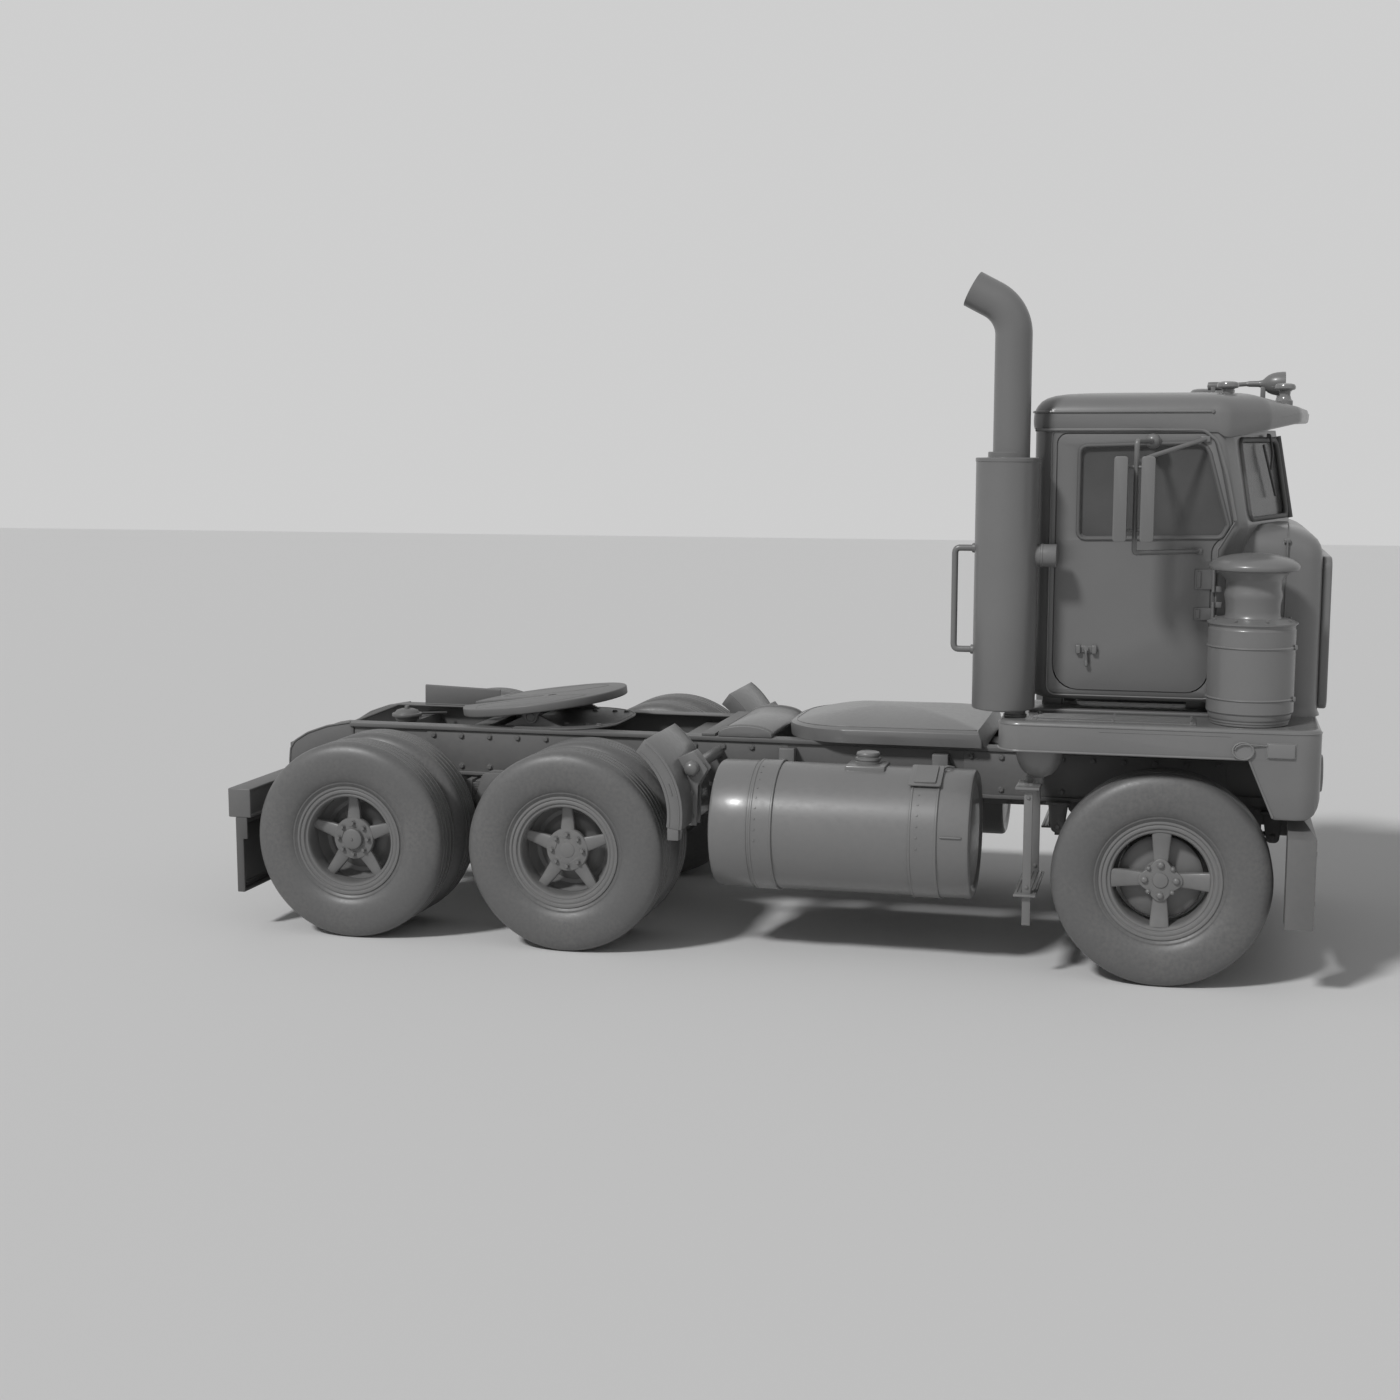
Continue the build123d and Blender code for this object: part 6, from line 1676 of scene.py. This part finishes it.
def tie_rod():
    """The tie rod: a long tube with clamped, bored ends."""
    half = mm(11.5, 880, 11.5, 845, 15.5, 838, 22.5, 836, 23.5, 832, 23.5, 804, 22.5, 800, 16.5, 798)
    rings = [(0, 0.88)] + half + [(r, -z) for r, z in reversed(half)] + [(0, -0.88)]
    height = AXLE_Z - 0.042
    pieces = [put(turned("rod", 28, rings), ROD_X, 0, height, turn_about("X", 90))]
    end = mm(9.3, 18, 19, 18, 22, 14, 22, -14, 19, -18, 9.3, -18)
    for o in (1, -1):
        pieces.append(put(turned("rod_end", 32, end + [end[0]]), ROD_X, o * KINGPIN_Y, height))
        pieces.append(block("clamp_ears", (-0.205, o * 0.806, height - 0.008), (-0.185, o * 0.83, height + 0.008),
                            0.003))
        pieces.append(again_at(BOLT_SMALL, -0.197, o * 0.818, height + 0.008))
    dress(joined("steering_rod", pieces), "tie_rod", "chassis_paint", ["tie_rod"], 35)


def shaft(start, end, radius):
    """A drive shaft between two points: a tube with a flange, a necked joint and its cross at each end."""
    run = Vector(end) - Vector(start)
    long = run.length
    near = [(0, 0), (0.9, 0), (1, 0.004), (1, 0.018), (0.6, 0.024), (0.6, 0.06), (0.92, 0.068), (0.95, 0.075),
            (0.95, 0.1), (0.8, 0.108)]
    rings = [(radius * r, z) for r, z in near] + [(radius * r, long - z) for r, z in reversed(near)]
    parts = [turned("shaft_tube", 36, rings)]
    for z, across in ((0.042, "X"), (long - 0.042, "Y")):
        pin = turned("cross_pin", 18, [(0, radius), (0.014, radius), (0.016, radius - 0.004), (0.016, 0.004 - radius),
                                       (0.014, -radius), (0, -radius)])
        parts.append(settle(pin, Matrix.Translation((0, 0, z)) @ turn_about(across, 90)))
        face, way = (0.018, Matrix()) if z < 0.1 else (long - 0.018, turn_about("X", 180))
        for k in range(4):
            spot = turn_about("Z", 45 + 90 * k) @ Matrix.Translation((radius * 0.8, 0, face))
            parts.append(again(BOLT_SMALL, "flange_bolt", spot @ way))
    return put(joined("shaft", parts), *start, run.to_track_quat("Z", "Y").to_matrix().to_4x4())


def drive_shafts():
    shafts = [shaft((-2.69, 0, AXLE_Z), (-1.5, 0, 0.76), 0.05), shaft((-3.873, 0, AXLE_Z), (-3.15, 0, AXLE_Z), 0.045)]
    dress(joined("drive_shaft_set", shafts), "chassis", "chassis_paint", ["drive_shafts"], 35)


def engine():
    """The engine with its head, sump, manifolds and fan, the lower radiator, bell housing and ribbed gearbox."""
    forms = [("crankcase", (-0.52, -0.22, 0.74), (0.4, 0.22, 1.02), 0.02),
             ("head", (-0.5, -0.17, 1.02), (0.38, 0.17, 1.16), 0.012),
             ("rocker_cover", (-0.48, -0.12, 1.15), (0.36, 0.12, 1.258), 0.03),
             ("sump", (-0.5, -0.17, 0.645), (0.3, 0.17, 0.75), 0.035),
             ("top_flange", (-0.53, -0.235, 1.01), (0.41, 0.235, 1.028), 0.004),
             ("sump_flange", (-0.53, -0.235, 0.738), (0.41, 0.235, 0.754), 0.004),
             ("gearbox", (-1.36, -0.17, 0.68), (-0.7, 0.17, 0.985), 0.03),
             ("gear_cover", (-1.2, -0.11, 0.98), (-0.85, 0.11, 1.005), 0.006),
             ("side_cover", (-1.15, 0.165, 0.74), (-0.9, 0.2, 0.9), 0.01),
             ("starter", (-0.56, -0.3, 0.78), (-0.3, -0.21, 0.87), 0.03),
             ("radiator_core", (0.458, -0.3, 0.7), (0.466, 0.3, 1.2), 0.001),
             ("bottom_tank", (0.454, -0.33, 0.64), (0.48, 0.33, 0.705), 0.006),
             ("top_tank", (0.454, -0.33, 1.19), (0.48, 0.33, 1.262), 0.006),
             ("side_post", (0.454, -0.33, 0.7), (0.48, -0.3, 1.2), 0.004),
             ("side_post", (0.454, 0.3, 0.7), (0.48, 0.33, 1.2), 0.004)]
    for x in (-1.25, -1.1, -0.95, -0.8):
        forms.append(("gearbox_rib", (x - 0.008, -0.182, 0.69), (x + 0.008, 0.182, 0.975), 0.006))
    for x in (-0.42, 0.25):
        forms.append(("engine_mount", (x - 0.055, -0.418, 1.032), (x + 0.055, 0.418, 1.068), 0.006))
    pieces = [block(name, low, high, edge, 3) for name, low, high, edge in forms]
    for k in range(29):
        y = -0.28 + 0.02 * k
        pieces.append(block("radiator_fin", (0.464, y - 0.003, 0.7), (0.473, y + 0.003, 1.2), 0))
    bell = mm(0, 0, 160, 0, 170, 20, 170, 100, 190, 140, 190, 190, 0, 190)
    pieces.append(put(turned("bell_housing", 48, bell), -0.71, 0, 0.83, FORWARD))
    tail = mm(0, 170, 120, 170, 120, 120, 100, 80, 70, 50, 60, 20, 60, 0, 0, 0)
    pieces.append(put(turned("gearbox_tail", 40, tail), -1.5, 0, 0.77, FORWARD))
    pulley = mm(0, 0, 100, 0, 104, 4, 90, 12, 104, 20, 90, 28, 104, 36, 100, 40, 0, 40)
    pieces.append(put(turned("pulley", 40, pulley), 0.4, 0, 0.83, FORWARD))
    pieces.append(put(turned("fan_hub", 32, mm(0, 0, 50, 0, 55, 30, 40, 45, 0, 45)), 0.4, 0, 0.98, FORWARD))
    blade = panel("fan_blade", rounded(mm(40, -30, 260, -55, 260, 55, 40, 30), 0.012), "z", 0.004, 0.0015)
    blade.data.transform(turn_about("X", 24))
    for k in range(6):
        pieces.append(again_at(blade, 0.425, 0, 0.98, turn_about("X", 60 * k) @ turn_about("Y", -90)))
    discard(blade)
    for o in (1, -1):
        pieces.append(tube("manifold", [(-0.44, o * 0.27, 1.1), (0.32, o * 0.27, 1.1)], 0.034, sides=5))
        for k in range(6):
            x = -0.43 + 0.145 * k
            pieces.append(tube("port", [(x, o * 0.15, 1.1), (x, o * 0.26, 1.1)], 0.024, sides=4))
            pieces.append(again_at(BOLT_SMALL, x, o * 0.145, 1.16))
            pieces.append(again_at(BOLT_SMALL, x, o * 0.228, 1.028))
    dress(joined("engine_set", pieces), "chassis", "engine_iron", ["engine_block"], 35)


wheels_and_tyres()
doors_dressed(cab_body())
cab_top()
nose()
decks()
bumper()
air_cleaners()
exhaust()
mirrors()
wipers()
fuel_tanks()
tank_straps()
steps()
ladder_frame()
rear_end()
frame_covers()
quarter_fenders()
fifth_wheel()
rear_springs()
driven_axles()
front_springs()
front_axle()
knuckles()
tie_rod()
drive_shafts()
engine()
seats()
dashboard()
discard(BOLT_SMALL, BOLT_LARGE)


def studio():
    """A pale floor, a soft sky and two broad lamps."""
    bpy.ops.object.select_all(action="DESELECT")
    bpy.ops.mesh.primitive_plane_add(size=80, location=(0, 0, 0))
    floor = bpy.context.object
    floor.name = "studio_floor"
    f = Finish("studio_floor")
    f.set(colour=grey(0.7), rough=0.9)
    floor.data.materials.append(f.material)
    world = bpy.data.worlds.new("studio_sky")
    world.use_nodes = True
    bpy.context.scene.world = world
    tree = world.node_tree
    light = tree.nodes["Background"]
    light.inputs[0].default_value = grey(0.8)
    light.inputs[1].default_value = 0.34
    seen = tree.nodes.new("ShaderNodeBackground")
    seen.inputs[0].default_value = grey(0.62)
    seen.inputs[1].default_value = 1.0
    ray = tree.nodes.new("ShaderNodeLightPath")
    seen_ray, through_ray, gloss_ray = [Socket(tree, ray.outputs[f"Is {kind} Ray"])
                                        for kind in ("Camera", "Transmission", "Glossy")]
    either = seen_ray.math("MAXIMUM", through_ray).math("MAXIMUM", gloss_ray)
    mix = tree.nodes.new("ShaderNodeMixShader")
    tree.links.new(either.link, mix.inputs[0])
    tree.links.new(light.outputs[0], mix.inputs[1])
    tree.links.new(seen.outputs[0], mix.inputs[2])
    tree.links.new(mix.outputs[0], tree.nodes["World Output"].inputs[0])
    for name, place, spread_angle, power in (("key", (-4.5, -7.5, 8.5), 8.0, 2.0),
                                             ("fill", (7.0, -6.0, 5.0), 50.0, 0.1)):
        data = bpy.data.lights.new(name, "SUN")
        data.angle = radians(spread_angle)
        data.energy = power
        lamp = bpy.data.objects.new(name, data)
        bpy.context.scene.collection.objects.link(lamp)
        lamp.location = place
        lamp.rotation_euler = (-Vector(place)).to_track_quat("-Z", "Y").to_euler()


studio()
bpy.context.scene.view_settings.view_transform = "Standard"
